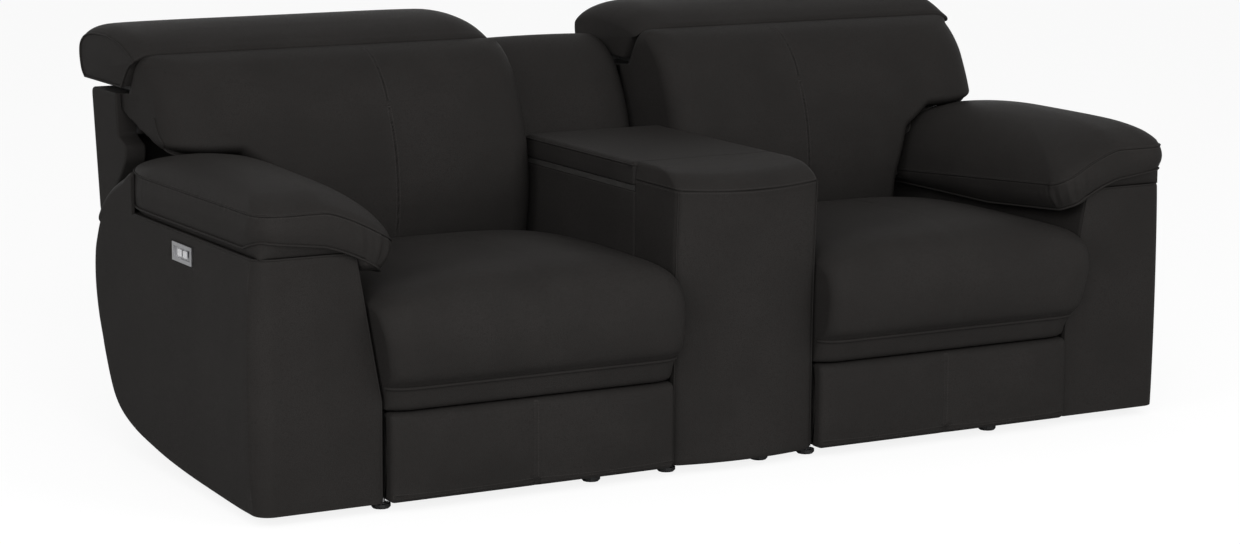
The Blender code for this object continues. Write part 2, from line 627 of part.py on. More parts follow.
def make_footrest(side, label):
    """The crank, the long links, and the panel with its bracket, from the seat outwards."""
    tube_low = BASE_LOW + FRAME_BOARD + RUNNING_GAP
    tube_high = BASE_HIGH - FRAME_BOARD - RUNNING_GAP
    crank_low = BASE_LOW + STRAP_INSET
    link_low = crank_low + STRAP_THICKNESS + RUNNING_GAP
    lug_low = link_low + STRAP_THICKNESS + RUNNING_GAP
    mirror = BASE_LOW + BASE_HIGH

    def pair(outline, low, thickness):
        """The same flat piece at both ends of the linkage."""
        near = across(outline, low, low + thickness)
        return [near, across(outline, mirror - low - thickness, mirror - low)]

    def pins(centre, low, length):
        ring = arc(centre, PIVOT_PIN_RADIUS, 0, 360 - 360 / SMALL_SIDES, SMALL_SIDES - 1)
        return pair(ring, low, length)

    def holes(centre, low, length):
        ring = arc(centre, PIVOT_PIN_RADIUS + FIT_GAP, 0, 360 - 360 / SMALL_SIDES, SMALL_SIDES - 1)
        return pair(ring, low - CUT_OVERRUN, length + 2 * CUT_OVERRUN)

    pin_length = STRAP_THICKNESS / 2 + RUNNING_GAP + STRAP_THICKNESS
    bore_radius = STUB_PIN_RADIUS + FIT_GAP
    bore = cross_rod(CRANK, bore_radius, tube_low - CUT_OVERRUN, tube_low + STUB_PIN_LENGTH, SMALL_SIDES)
    far_bore = cross_rod(CRANK, bore_radius, tube_high - STUB_PIN_LENGTH, tube_high + CUT_OVERRUN,
                         SMALL_SIDES)
    lever_low = SEAT_MIDDLE + ROD_RADIUS + RUNNING_GAP
    lever = across(stadium(CRANK, LEVER_END, STRAP_WIDTH), lever_low, lever_low + STRAP_THICKNESS)
    lever_hole = cross_rod(LEVER_END, PIVOT_PIN_RADIUS, lever_low - RUNNING_GAP / 2,
                           lever_low + STRAP_THICKNESS + RUNNING_GAP, SMALL_SIDES)
    tube = cross_rod(CRANK, TORQUE_TUBE_RADIUS, tube_low, tube_high)
    straps = pair(stadium(CRANK, CRANK_END, STRAP_WIDTH), crank_low, STRAP_THICKNESS)
    crank_pins = pins(CRANK_END, crank_low + STRAP_THICKNESS / 2, pin_length)
    add_node(f"{label}_footrest_crank", tube, "steel", side, (SEAT_MIDDLE, *CRANK),
             straps + [lever] + crank_pins, [bore, far_bore, lever_hole])

    tube_place = [a + LINK_TUBE_SHARE * (b - a) for a, b in zip(CRANK_END, PANEL_PIVOT)]
    straps = pair(stadium(CRANK_END, PANEL_PIVOT, STRAP_WIDTH), link_low, STRAP_THICKNESS)
    tie = cross_rod(tube_place, LINK_TUBE_RADIUS, link_low + STRAP_THICKNESS / 2,
                    mirror - link_low - STRAP_THICKNESS / 2, SMALL_SIDES)
    add_node(f"{label}_footrest_link", straps[0], "steel", side, (SEAT_MIDDLE, *CRANK_END),
             [tie, straps[1]] + pins(PANEL_PIVOT, link_low + STRAP_THICKNESS / 2, pin_length),
             holes(CRANK_END, link_low, STRAP_THICKNESS))

    pad_rear = back(PANEL_PAD_THICKNESS - PANEL_FRONT)
    board_front = pad_rear + FIT_GAP
    board_rear = board_front + PANEL_BOARD_THICKNESS
    strip_front = board_rear + FIT_GAP
    panel_low = CONSOLE_HALF + PANEL_SIDE_GAP
    panel_high = ARM_INNER - PANEL_SIDE_GAP
    origin = (SEAT_MIDDLE, *PANEL_PIVOT)
    strip = block((lug_low, strip_front, PANEL_PIVOT_Z - BRACKET_HEIGHT / 2),
                  (mirror - lug_low, strip_front + BRACKET_THICKNESS, PANEL_PIVOT_Z + BRACKET_HEIGHT / 2))
    lug = [(strip_front, PANEL_PIVOT_Z + BRACKET_HEIGHT / 2),
           (strip_front, PANEL_PIVOT_Z - BRACKET_HEIGHT / 2)]
    lug += arc(PANEL_PIVOT, STRAP_WIDTH / 2, -90, 90, 6)
    add_node(f"{label}_footrest_bracket", strip, "steel", side, origin,
             pair(lug, lug_low, STRAP_THICKNESS), holes(PANEL_PIVOT, lug_low, STRAP_THICKNESS))
    add_node(f"{label}_footrest_board",
             block((panel_low + PANEL_BOARD_INSET, board_front, FLOOR_GAP + PANEL_BOARD_INSET),
                   (panel_high - PANEL_BOARD_INSET, board_rear, PANEL_TOP_Z - PANEL_BOARD_INSET)),
             "board", side, origin)
    make_footrest_pad(side, label, panel_low, panel_high, pad_rear, origin)


# Footrest pad: share of its width, share of its edge radius
PAD_END_SHARES = ((0.0, 1.0), (0.008, 0.45), (0.03, 0.08), (0.25, 0.0), (0.5, 0.0), (0.75, 0.0), (0.97, 0.08),
                  (0.992, 0.45), (1.0, 1.0))


def make_footrest_pad(side, label, low, high, rear, origin):
    """A pad, flat behind, rounded over at its front edges."""
    rings = []
    front = back(-PANEL_FRONT)
    for share, inset_share in PAD_END_SHARES:
        inset = PANEL_PAD_RADIUS * inset_share
        radii = (PANEL_PAD_RADIUS, PANEL_BOARD_INSET, PANEL_BOARD_INSET, PANEL_PAD_RADIUS)
        outline = rounded_rectangle((front + inset, FLOOR_GAP + inset / 2),
                                    (rear, PANEL_TOP_Z - inset / 2), radii)
        rings.append([(low + share * (high - low), y, z) for y, z in outline])
    add_node(f"{label}_footrest_pad", loft(rings), "leather", side, origin)


def make_actuator(side, label):
    """A geared motor with a push rod; the rod's eye lies beside the lever on the torque tube."""
    rear_face = back(SEAT_FRAME_REAR) - FRAME_BOARD - FIT_GAP
    half = GEARBOX_WIDTH / 2
    top = ACTUATOR_Z + GEARBOX_RISE
    gearbox = block((SEAT_MIDDLE - half, back(GEARBOX_FRONT), ACTUATOR_Z - GEARBOX_DROP),
                    (SEAT_MIDDLE + half, back(GEARBOX_REAR), top))
    reach = ACTUATOR_LUG_HALF
    lug = block((SEAT_MIDDLE - reach, back(GEARBOX_REAR) - reach, SEAT_FRAME_BOTTOM_Z),
                (SEAT_MIDDLE + reach, rear_face, top))
    tube = long_rod(SEAT_MIDDLE, ACTUATOR_Z, ACTUATOR_TUBE_RADIUS, back(ACTUATOR_TUBE_FRONT),
                    back(GEARBOX_FRONT) + half)
    motor_centre = (back((GEARBOX_FRONT + GEARBOX_REAR) / 2), ACTUATOR_Z - GEARBOX_RISE)
    motor = cross_rod(motor_centre, MOTOR_RADIUS, SEAT_MIDDLE, SEAT_MIDDLE + half + MOTOR_LENGTH)
    bore = long_rod(SEAT_MIDDLE, ACTUATOR_Z, ROD_RADIUS + FIT_GAP, back(ACTUATOR_TUBE_FRONT) - CUT_OVERRUN,
                    back(ROD_TAIL_DEPTH) + CUT_OVERRUN)
    origin = (SEAT_MIDDLE, back(GEARBOX_FRONT), ACTUATOR_Z)
    add_node(f"{label}_actuator_body", gearbox, "plastic", side, origin, [lug, motor, tube], [bore])
    eye_y = LEVER_END[0]
    centre = (eye_y, ACTUATOR_Z)
    eye = cross_rod(centre, ROD_EYE_RADIUS, SEAT_MIDDLE - ROD_EYE_HALF, SEAT_MIDDLE + ROD_RADIUS)
    hole = cross_rod(centre, PIVOT_PIN_RADIUS, SEAT_MIDDLE - CUT_OVERRUN, SEAT_MIDDLE + CUT_OVERRUN,
                     SMALL_SIDES)
    rod = long_rod(SEAT_MIDDLE, ACTUATOR_Z, ROD_RADIUS, eye_y + PIVOT_PIN_RADIUS + ROD_EYE_HALF / 2,
                   back(ROD_TAIL_DEPTH), SMALL_SIDES)
    add_node(f"{label}_actuator_rod", rod, "zinc", side, (SEAT_MIDDLE, eye_y, ACTUATOR_Z), [eye], [hole])


def back_rear_depth(z):
    """The rear face of the backs, which leans rearwards with height."""
    return BACK_REAR_DEPTH + BACK_LEAN_DEPTH * (z - BACK_BOTTOM_Z) / (BACK_TOP_Z - BACK_BOTTOM_Z)


def back_slab(x_low, x_high, z_low, thickness, step):
    """One padded layer of the back, set in by step at its top and rear."""
    rings = []
    for z in (z_low, BACK_TOP_Z - step):
        rear = back_rear_depth(z) - step
        front = back_rear_depth(z) - thickness
        radii = (BACK_EDGE_RADIUS / 2, BACK_EDGE_RADIUS / 2, BACK_EDGE_RADIUS, BACK_EDGE_RADIUS)
        outline = rounded_rectangle((x_low, back(front)), (x_high, back(rear)), radii)
        rings.append([(x, y, z) for x, y in outline])
    return loft(rings)


def head_arm_places():
    span = BACK_WING_HALF - BACK_LOW
    return [BACK_LOW + share * span for share in HEAD_ARM_SHARES]


def make_back_frame(side, label):
    """A slab between the arms, a thinner and wider one above them, hinge plates, headrest posts."""
    step = BACK_SEAM_STEP
    narrow = back_slab(BACK_LOW + step, BACK_NARROW_HALF, BACK_BOTTOM_Z, BACK_THICKNESS, 2 * step)
    wide = back_slab(BACK_LOW, BACK_WIDE_HALF, BACK_WIDE_BOTTOM_Z, BACK_WIDE_THICKNESS, 0.0)
    shoulder = back_slab(SEAT_MIDDLE, BACK_WIDE_HALF - step, BACK_SHOULDER_Z, BACK_THICKNESS - step, step)
    seat_plate = BASE_LOW + FRAME_BOARD + RECLINE_PLATE + RUNNING_GAP
    far_plate = BASE_HIGH - FRAME_BOARD - RECLINE_PLATE - RUNNING_GAP
    anchor = (back(BACK_REAR_DEPTH - BACK_THICKNESS / 2), RECLINE_Z + RECLINE_PLATE_WIDTH)
    plate = stadium(RECLINE, anchor, RECLINE_PLATE_WIDTH)
    added = [wide, shoulder, across(plate, seat_plate, seat_plate + RECLINE_PLATE),
             across(plate, far_plate - RECLINE_PLATE, far_plate)]
    foot_z = BACK_TOP_Z - HEAD_POST_DROP
    post_foot = (back(back_rear_depth(foot_z) - BACK_THICKNESS), foot_z)
    for x in head_arm_places():
        post = stadium(post_foot, HEAD_AXIS, HEAD_ARM_WIDTH)
        added.append(across(post, x, x + HEAD_ARM_THICKNESS))
        added.append(cross_rod(HEAD_AXIS, HEAD_PIN_RADIUS, x - HEAD_ARM_THICKNESS - RUNNING_GAP,
                               x + HEAD_ARM_THICKNESS / 2, SMALL_SIDES))
    radius = RECLINE_PIN_RADIUS + FIT_GAP
    span = RECLINE_PLATE + RUNNING_GAP
    holes = [cross_rod(RECLINE, radius, seat_plate - RUNNING_GAP / 2, seat_plate + span),
             cross_rod(RECLINE, radius, far_plate - span, far_plate + RUNNING_GAP / 2)]
    add_node(f"{label}_back_frame", narrow, "leather", side, (SEAT_MIDDLE, *RECLINE), added, holes)


# Back cushion: share of its height, share of the way from its foremost depth to the seam's depth
BACK_FRONT_SHARES = ((0.0, 0.24), (0.04, 0.15), (0.12, 0.08), (0.24, 0.025), (0.38, 0.0), (0.53, 0.04),
                     (0.61, 0.09), (0.648, 0.12), (0.70, 0.17), (0.77, 0.25), (0.85, 0.36), (0.92, 0.52),
                     (0.965, 0.68), (0.99, 0.84), (1.0, 0.97))
FRONT_ROUND_POWER = 4.5
RING_POINTS = 28


def rounded_ring(x_low, x_high, y_low, y_high, z):
    """A plan view whose front and sides bulge, from a superellipse of FRONT_ROUND_POWER."""
    angles = 2 * np.pi * (np.arange(RING_POINTS) + 0.5) / RING_POINTS
    cosine, sine = np.cos(angles), np.sin(angles)
    bulge = 2 / FRONT_ROUND_POWER
    x = (x_low + x_high) / 2 + (x_high - x_low) / 2 * np.sign(cosine) * np.abs(cosine) ** bulge
    y = (y_low + y_high) / 2 + (y_high - y_low) / 2 * np.sign(sine) * np.abs(sine) ** bulge
    return np.stack([x, y, np.full(RING_POINTS, z)], axis=1)


def wing_reach(z):
    """The cushion's outer edge: between the pillows below, and a wing with a round corner above."""
    if z < BACK_WING_BOTTOM_Z:
        return BACK_PAD_LOW_HALF
    rise = min((z - BACK_WING_BOTTOM_Z) / BACK_WING_RADIUS, 1.0)
    return BACK_WING_HALF - BACK_WING_RADIUS * (1 - math.sqrt(1 - (1 - rise) ** 2))


def head_slots():
    """Room in the cushions for the headrest's posts and arms."""
    slots = []
    for x in head_arm_places():
        reach = HEAD_ARM_WIDTH / 2 + RUNNING_GAP
        low = (x - HEAD_ARM_THICKNESS - 3 * RUNNING_GAP, HEAD_AXIS[0] - reach, BACK_TOP_Z - HEAD_SLOT_DROP)
        high = (x + HEAD_ARM_THICKNESS + RUNNING_GAP, back(HEAD_REAR), HEAD_AXIS[1] + reach)
        slots.append(block(low, high))
    return slots


def make_back_cushion(side, label):
    height = BACK_PAD_SEAM_Z - BACK_PAD_BOTTOM_Z
    rings = []
    for rise, recess in BACK_FRONT_SHARES:
        z = BACK_PAD_BOTTOM_Z + rise * height
        front = BACK_PAD_FRONT + recess * (BACK_PAD_SEAM_DEPTH - BACK_PAD_FRONT)
        rear = back_rear_depth(z) - BACK_THICKNESS - FIT_GAP
        above = (z - HEAD_JOINT_Z) / (BACK_PAD_SEAM_Z - HEAD_JOINT_Z)
        if above > 0:
            joint = HEAD_JOINT_DEPTH + (BACK_PAD_SEAM_DEPTH - HEAD_JOINT_DEPTH) * above
            rear = min(rear, joint) + BACK_PAD_LIP
        rings.append(rounded_ring(BACK_LOW, wing_reach(z), back(front), back(rear), z))
    origin = (SEAT_MIDDLE, *RECLINE)
    add_node(f"{label}_back_cushion", loft(rings), "leather", side, origin, removed=head_slots())


# Headrest side view: share of the run from the joint to the rear, share of the height over the board
HEAD_PROFILE_SHARES = ((0.05, 0.0), (-0.07, 0.36), (-0.155, 0.66), (0.02, 0.86), (0.22, 0.965), (0.45, 1.0),
                       (0.68, 0.975), (0.86, 0.87), (0.965, 0.68), (1.0, 0.42), (0.965, 0.14), (0.90, 0.0))
# Across the headrest: share of its width, share of the inset that draws its ends in
HEAD_ACROSS_SHARES = ((0.0, 1.0), (0.012, 0.45), (0.04, 0.12), (0.12, 0.0), (0.35, 0.0), (0.65, 0.0),
                      (0.88, 0.0), (0.96, 0.12), (0.988, 0.45), (1.0, 1.0))


def make_headrest(side, label):
    """A padded bolster over a board; it turns about an axis just under the seam."""
    board_top = HEAD_BOARD_Z + HEAD_BOARD_THICKNESS
    pad_bottom = board_top + FIT_GAP
    origin = (SEAT_MIDDLE, *HEAD_AXIS)
    board = upward(rounded_rectangle((BACK_LOW + HEAD_BOARD_INSET, back(HEAD_BOARD_FRONT)),
                                     (BACK_WIDE_HALF - HEAD_BOARD_INSET, back(HEAD_BOARD_REAR)),
                                     (HEAD_ARM_WIDTH, HEAD_ARM_WIDTH, HEAD_BOARD_INSET, HEAD_BOARD_INSET)),
                   HEAD_BOARD_Z, board_top)
    arms, holes = [], []
    foot = (back(HEAD_BOARD_FRONT) + HEAD_ARM_WIDTH / 2, HEAD_BOARD_Z + HEAD_ARM_WIDTH / 2)
    for x in head_arm_places():
        low = x - HEAD_ARM_THICKNESS - RUNNING_GAP
        arms.append(across(stadium(foot, HEAD_AXIS, HEAD_ARM_WIDTH), low, low + HEAD_ARM_THICKNESS))
        holes.append(cross_rod(HEAD_AXIS, HEAD_PIN_RADIUS + FIT_GAP, low - CUT_OVERRUN,
                               low + HEAD_ARM_THICKNESS + RUNNING_GAP / 2, SMALL_SIDES))
    add_node(f"{label}_headrest_frame", board, "board", side, origin, arms, holes)
    run = HEAD_REAR - HEAD_JOINT_DEPTH
    rise = HEAD_CROWN_Z - pad_bottom
    middle = (back((HEAD_JOINT_DEPTH + HEAD_REAR) / 2), pad_bottom + rise / 2)
    rings = []
    for share, inset_share in HEAD_ACROSS_SHARES:
        x = BACK_LOW + share * (BACK_WIDE_HALF - BACK_LOW)
        inset = HEAD_END_INSET * inset_share
        ring = []
        for y_share, z_share in HEAD_PROFILE_SHARES:
            y = back(HEAD_JOINT_DEPTH + y_share * run)
            z = pad_bottom + z_share * rise
            y += inset * (middle[0] - y) / (run / 2)
            z -= inset * max(z - middle[1], 0) / (rise / 2)
            ring.append((x, y, z))
        rings.append(ring)
    add_node(f"{label}_headrest_cushion", loft(rings), "leather", side, origin, removed=head_slots())


def bowed_ring(front, rear, z, inset=0.0):
    """The console front's plan: straight behind, bowed forwards in front, round front corners."""
    half = CONSOLE_HALF - inset
    radius = CONSOLE_CORNER_RADIUS
    points = rounded_rectangle((-half, front), (half, rear), (radius, radius, radius / 4, radius / 4))
    bowed = []
    for x, y in points:
        nearness = (rear - y) / (rear - front)
        bowed.append((x, y - CONSOLE_BOW * (1 - (x / half) ** 2) * nearness, z))
    face = [(x, front - CONSOLE_BOW * (1 - (x / half) ** 2), z)
            for x in np.linspace(-half + radius, half - radius, 7)[1:-1]]
    return bowed[:4] + face + bowed[4:]


# Console front's top: share of the rise above the seam, share of its depth by which the front rolls back
CONSOLE_ROLL_SHARES = ((0.0, 0.0), (0.30, 0.06), (0.60, 0.16), (0.85, 0.30), (1.0, 0.52))


def make_console():
    rings = [bowed_ring(back(0), back(CONSOLE_FRONT_DEPTH), FLOOR_GAP)]
    for rise, roll in CONSOLE_ROLL_SHARES:
        z = CONSOLE_SEAM_Z + rise * (CONSOLE_TOP_Z - CONSOLE_SEAM_Z)
        inset = CONSOLE_CORNER_RADIUS * roll
        rings.append(bowed_ring(back(roll * CONSOLE_FRONT_DEPTH), back(CONSOLE_FRONT_DEPTH), z, inset))
    add_node("console_front", loft(rings), "leather")

    box_front = back(CONSOLE_FRONT_DEPTH) + FIT_GAP
    store_front = box_front + STORE_WALL
    store = block((STORE_WALL - CONSOLE_HALF, store_front, STORE_FLOOR_Z),
                  (CONSOLE_HALF - STORE_WALL, back(STORE_REAR_DEPTH), CONSOLE_BOX_TOP_Z + CUT_OVERRUN))
    add_node("console_box", block((-CONSOLE_HALF, box_front, FLOOR_GAP),
                                  (CONSOLE_HALF, back(CONSOLE_BOX_DEPTH), CONSOLE_BOX_TOP_Z)),
             "leather", removed=[store])

    axis = (back(LID_HINGE_DEPTH), CONSOLE_BOX_TOP_Z + RUNNING_GAP + LID_KNUCKLE_RADIUS)
    board_z = CONSOLE_BOX_TOP_Z + RUNNING_GAP
    board_top = board_z + LID_BOARD_THICKNESS
    lid_front = box_front + 2 * RUNNING_GAP
    origin = (0.0, *axis)
    add_node("console_lid_board", block((-CONSOLE_HALF, lid_front, board_z),
                                        (CONSOLE_HALF, back(LID_REAR_DEPTH), board_top)), "board", 1, origin)
    add_node("console_lid_pad", soft_block((-CONSOLE_HALF, lid_front, board_top + FIT_GAP),
                                           (CONSOLE_HALF, back(LID_REAR_DEPTH), CONSOLE_TOP_Z),
                                           LID_CORNER_RADIUS / 3, LID_CORNER_RADIUS),
             "leather", 1, origin)
    leaf_low = back(LID_REAR_DEPTH) + FIT_GAP
    leaf = block((-LID_KNUCKLE_HALF, leaf_low, board_z),
                 (LID_KNUCKLE_HALF, leaf_low + LID_LEAF_THICKNESS, board_top))
    knuckle = cross_rod(axis, LID_KNUCKLE_RADIUS, -LID_KNUCKLE_HALF, LID_KNUCKLE_HALF, SMALL_SIDES)
    bore = cross_rod(axis, LID_PIN_RADIUS + FIT_GAP, -LID_KNUCKLE_HALF - CUT_OVERRUN,
                     LID_KNUCKLE_HALF + CUT_OVERRUN, SMALL_SIDES)
    add_node("console_lid_hinge_leaf", leaf, "zinc", 1, origin, [knuckle], [bore])
    plate_z = CONSOLE_BOX_TOP_Z + FIT_GAP
    plate = block((-LID_HINGE_HALF, axis[0], plate_z),
                  (LID_HINGE_HALF, axis[0] + LID_LEAF_DEPTH, plate_z + LID_LEAF_THICKNESS))
    clearance = LID_KNUCKLE_HALF + RUNNING_GAP
    notch = block((-clearance, axis[0] - LID_KNUCKLE_RADIUS, CONSOLE_BOX_TOP_Z),
                  (clearance, axis[0] + LID_KNUCKLE_RADIUS + RUNNING_GAP, board_top))
    ends = [cross_rod(axis, LID_KNUCKLE_RADIUS, low, high, SMALL_SIDES)
            for low, high in ((-LID_HINGE_HALF, -clearance), (clearance, LID_HINGE_HALF))]
    pin_half = clearance + LID_KNUCKLE_RADIUS
    pin = cross_rod(axis, LID_PIN_RADIUS, -pin_half, pin_half, SMALL_SIDES)
    add_node("console_lid_hinge_base", plate, "zinc", added=ends, removed=[notch], rejoined=[pin])


# Console back pad's front and top: share of the run from front to rear, share of its height
CONSOLE_PAD_SHARES = ((0.0, 0.0), (0.01, 0.12), (0.07, 0.33), (0.17, 0.56), (0.31, 0.78), (0.50, 0.93),
                      (0.72, 1.0), (0.90, 0.96), (0.985, 0.88))
# Across the pad: place from end to end, share of the inset that draws its ends in
CONSOLE_PAD_END_SHARES = ((-1.0, 1.0), (-0.97, 0.45), (-0.88, 0.1), (-0.5, 0.0), (0.0, 0.0), (0.5, 0.0),
                          (0.88, 0.1), (0.97, 0.45), (1.0, 1.0))


def make_console_back():
    """The fixed back behind the console: an upright frame with a pad over its front and top."""
    rear_top = back_rear_depth(CONSOLE_BACK_TOP_Z)
    upper = CONSOLE_PAD_SEAT_DEPTH + CONSOLE_PAD_UPPER_SHARE * (rear_top - CONSOLE_PAD_SEAT_DEPTH)
    front = CONSOLE_BOX_DEPTH + FIT_GAP
    outline = [(back(front), FLOOR_GAP), (back(front), CONSOLE_BOX_TOP_Z - CONSOLE_BACK_STEP),
               (back(CONSOLE_PAD_SEAT_DEPTH), CONSOLE_BOX_TOP_Z + FIT_GAP),
               (back(upper), CONSOLE_BACK_TOP_Z), (back(rear_top), CONSOLE_BACK_TOP_Z),
               (back(BACK_REAR_DEPTH), BACK_BOTTOM_Z), (back(BACK_REAR_DEPTH), FLOOR_GAP)]
    add_node("console_back_frame", across(outline, -CONSOLE_HALF, CONSOLE_HALF), "leather")
    bottom = CONSOLE_BOX_TOP_Z + RUNNING_GAP
    run = back_rear_depth(CONSOLE_PAD_TOP_Z) - CONSOLE_PAD_FRONT
    rings = []
    for place, inset_share in CONSOLE_PAD_END_SHARES:
        x = place * CONSOLE_HALF
        inset = BACK_EDGE_RADIUS * inset_share
        height = CONSOLE_PAD_TOP_Z - bottom - inset / 2
        ring = []
        for y_share, z_share in CONSOLE_PAD_SHARES:
            y = back(CONSOLE_PAD_FRONT + y_share * run) + inset * (1 - y_share)
            ring.append((x, y, bottom + z_share * height))
        ring += [(x, back(rear_top), CONSOLE_BACK_TOP_Z + FIT_GAP),
                 (x, back(upper) - FIT_GAP, CONSOLE_BACK_TOP_Z + FIT_GAP),
                 (x, back(CONSOLE_PAD_SEAT_DEPTH) - 2 * FIT_GAP, bottom)]
        rings.append(ring)
    add_node("console_back_pad", loft(rings), "leather")
    inlet_front = back(BACK_REAR_DEPTH) + FIT_GAP
    inlet = block((-INLET_WIDTH / 2, inlet_front, INLET_Z - INLET_HEIGHT / 2),
                  (INLET_WIDTH / 2, inlet_front + INLET_PROUD, INLET_Z + INLET_HEIGHT / 2))
    socket = long_rod(0.0, INLET_Z, INLET_SOCKET_RADIUS, inlet_front + INLET_SOCKET_FLOOR,
                      inlet_front + INLET_PROUD + CUT_OVERRUN)
    add_node("power_inlet", inlet, "plastic", removed=[socket])


def make_feet():
    """The front feet stand as the photograph has them; the seats and the console have more behind."""
    rear = BASE_REAR_DEPTH - REAR_BAR_INSET + BASE_BAR / 2
    spacing = FOOT_PAIR_SHARE * (BASE_HIGH - BASE_LOW)
    left_start = -ARM_INNER + SEAT_FOOT_INSET
    right_start = CONSOLE_HALF + SEAT_FOOT_INSET
    for label, start in (("left", left_start), ("right", right_start)):
        make_foot(f"{label}_front_foot_1", start, FOOT_DEPTH)
        make_foot(f"{label}_front_foot_2", start + spacing, FOOT_DEPTH)
        make_foot(f"{label}_rear_foot_1", start, rear)
        make_foot(f"{label}_rear_foot_2", start + spacing, rear)
    console_start = CONSOLE_FOOT_INSET - CONSOLE_HALF
    make_foot("console_front_foot_1", console_start, FOOT_DEPTH)
    make_foot("console_front_foot_2", console_start + CONSOLE_FOOT_SPACING, FOOT_DEPTH)
    for number, x in enumerate((console_start, -console_start)):
        make_foot(f"console_rear_foot_{number + 1}", x, CONSOLE_REAR_FOOT_DEPTH)


def main():
    for old in list(bpy.data.objects):
        bpy.data.objects.remove(old, do_unlink=True)
    for side, label in ((-1, "left"), (1, "right")):
        make_arm(side, label)
        make_arm_pillow(side, label)
        make_switch(side, label)
        make_base_frame(side, label)
        make_seat_frame(side, label)
        make_seat_cushion(side, label)
        make_footrest(side, label)
        make_actuator(side, label)
        make_back_frame(side, label)
        make_back_cushion(side, label)
        make_headrest(side, label)
    make_console()
    make_console_back()
    make_feet()


main()
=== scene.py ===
import json
import math

import bmesh
import bpy
import numpy as np
from mathutils import Matrix, Vector


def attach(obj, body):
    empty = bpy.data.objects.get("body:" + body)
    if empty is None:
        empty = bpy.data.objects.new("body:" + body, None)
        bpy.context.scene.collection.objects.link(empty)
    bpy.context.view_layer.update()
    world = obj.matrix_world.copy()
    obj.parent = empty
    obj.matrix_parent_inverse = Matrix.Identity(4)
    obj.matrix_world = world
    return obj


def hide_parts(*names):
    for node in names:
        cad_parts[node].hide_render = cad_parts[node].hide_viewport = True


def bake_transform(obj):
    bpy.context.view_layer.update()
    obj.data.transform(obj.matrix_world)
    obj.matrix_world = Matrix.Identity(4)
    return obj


# Leather covers, seams, finishes, light and camera for the two-seat power reclining sofa.
# Metres, +Z up, front towards -Y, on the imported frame. Depths are measured rearwards from the
# fronts of the arms. Each seat's covers are worked out on the +X side and mirrored.
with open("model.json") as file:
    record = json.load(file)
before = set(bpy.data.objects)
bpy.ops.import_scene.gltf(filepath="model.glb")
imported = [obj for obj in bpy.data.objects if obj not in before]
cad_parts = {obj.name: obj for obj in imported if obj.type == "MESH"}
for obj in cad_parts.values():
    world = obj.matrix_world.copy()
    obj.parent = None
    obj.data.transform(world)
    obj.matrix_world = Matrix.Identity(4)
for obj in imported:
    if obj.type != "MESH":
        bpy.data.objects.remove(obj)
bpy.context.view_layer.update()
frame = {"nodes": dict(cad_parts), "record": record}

ARM_FRONT_Y = -0.465
SEAT_MIDDLE = 0.456


def back(depth):
    """The Y coordinate of a depth behind the fronts of the arms."""
    return ARM_FRONT_Y + depth


# Shader building


class Value:
    """A socket of a shader tree; a sign between two of them adds the Math node for it."""

    def __init__(self, tree, socket):
        self.tree = tree
        self.socket = socket

    def node(self, kind, settings, sockets, out=0):
        """Adds a node of that kind, sets it, fills or links its sockets, and returns one output."""
        made = self.tree.nodes.new(kind)
        for name, setting in settings.items():
            setattr(made, name, setting)
        fill(made.inputs, sockets)
        return Value(self.tree, made.outputs[out])

    def math(self, operation, first, second=0.0):
        return self.node("ShaderNodeMath", {"operation": operation}, {0: first, 1: second})

    def __add__(self, other):
        return self.math("ADD", self, other)

    def __radd__(self, other):
        return self.math("ADD", other, self)

    def __sub__(self, other):
        return self.math("SUBTRACT", self, other)

    def __rsub__(self, other):
        return self.math("SUBTRACT", other, self)

    def __mul__(self, other):
        return self.math("MULTIPLY", self, other)

    def __rmul__(self, other):
        return self.math("MULTIPLY", other, self)

    def __gt__(self, other):
        return self.math("GREATER_THAN", self, other)

    def __lt__(self, other):
        return self.math("LESS_THAN", self, other)

    def over(self, low, high):
        """0 below low, 1 above high, with a smooth rise between them; falls if low is above high."""
        if low > high:
            return 1 - self.over(high, low)
        return self.node("ShaderNodeMapRange", {"interpolation_type": "SMOOTHSTEP"},
                         {"Value": self, "From Min": low, "From Max": high})

    def noise(self, scale, detail=2.0, roughness=0.5):
        return self.node("ShaderNodeTexNoise", {}, {"Vector": self, "Scale": scale, "Detail": detail,
                                                    "Roughness": roughness})

    def stretch(self, x, y, z):
        return self.node("ShaderNodeMapping", {}, {"Vector": self, "Scale": (x, y, z)})

    def mix(self, low, high):
        """The colour low where this is 0 and high where it is 1."""
        return self.node("ShaderNodeMix", {"data_type": "RGBA"}, {0: self, 6: low, 7: high}, 2)


def fill(inputs, sockets):
    """Links or sets the named inputs of a node."""
    for name, given in sockets.items():
        if isinstance(given, Value):
            given.tree.links.new(given.socket, inputs[name])
        else:
            inputs[name].default_value = given


def colour(red, green=None, blue=None):
    return (red, red if green is None else green, red if blue is None else blue, 1.0)


def tinted(tone, share):
    """The tone, darker or lighter by a share."""
    return colour(*[c * share for c in tone])


def new_finish(name):
    """A Principled material, its shader's inputs and its object coordinates."""
    made = bpy.data.materials.new(name)
    made.use_nodes = True
    tree = made.node_tree
    place = Value(tree, tree.nodes.new("ShaderNodeTexCoord").outputs["Object"])
    return made, tree.nodes["Principled BSDF"].inputs, place


def relief(height, distance, strength, under=None):
    """A bump from a height of 0 to 1 that stands for distance metres, on top of another one."""
    sockets = {"Height": height, "Distance": distance, "Strength": strength}
    if under is not None:
        sockets["Normal"] = under
    return height.node("ShaderNodeBump", {}, sockets)


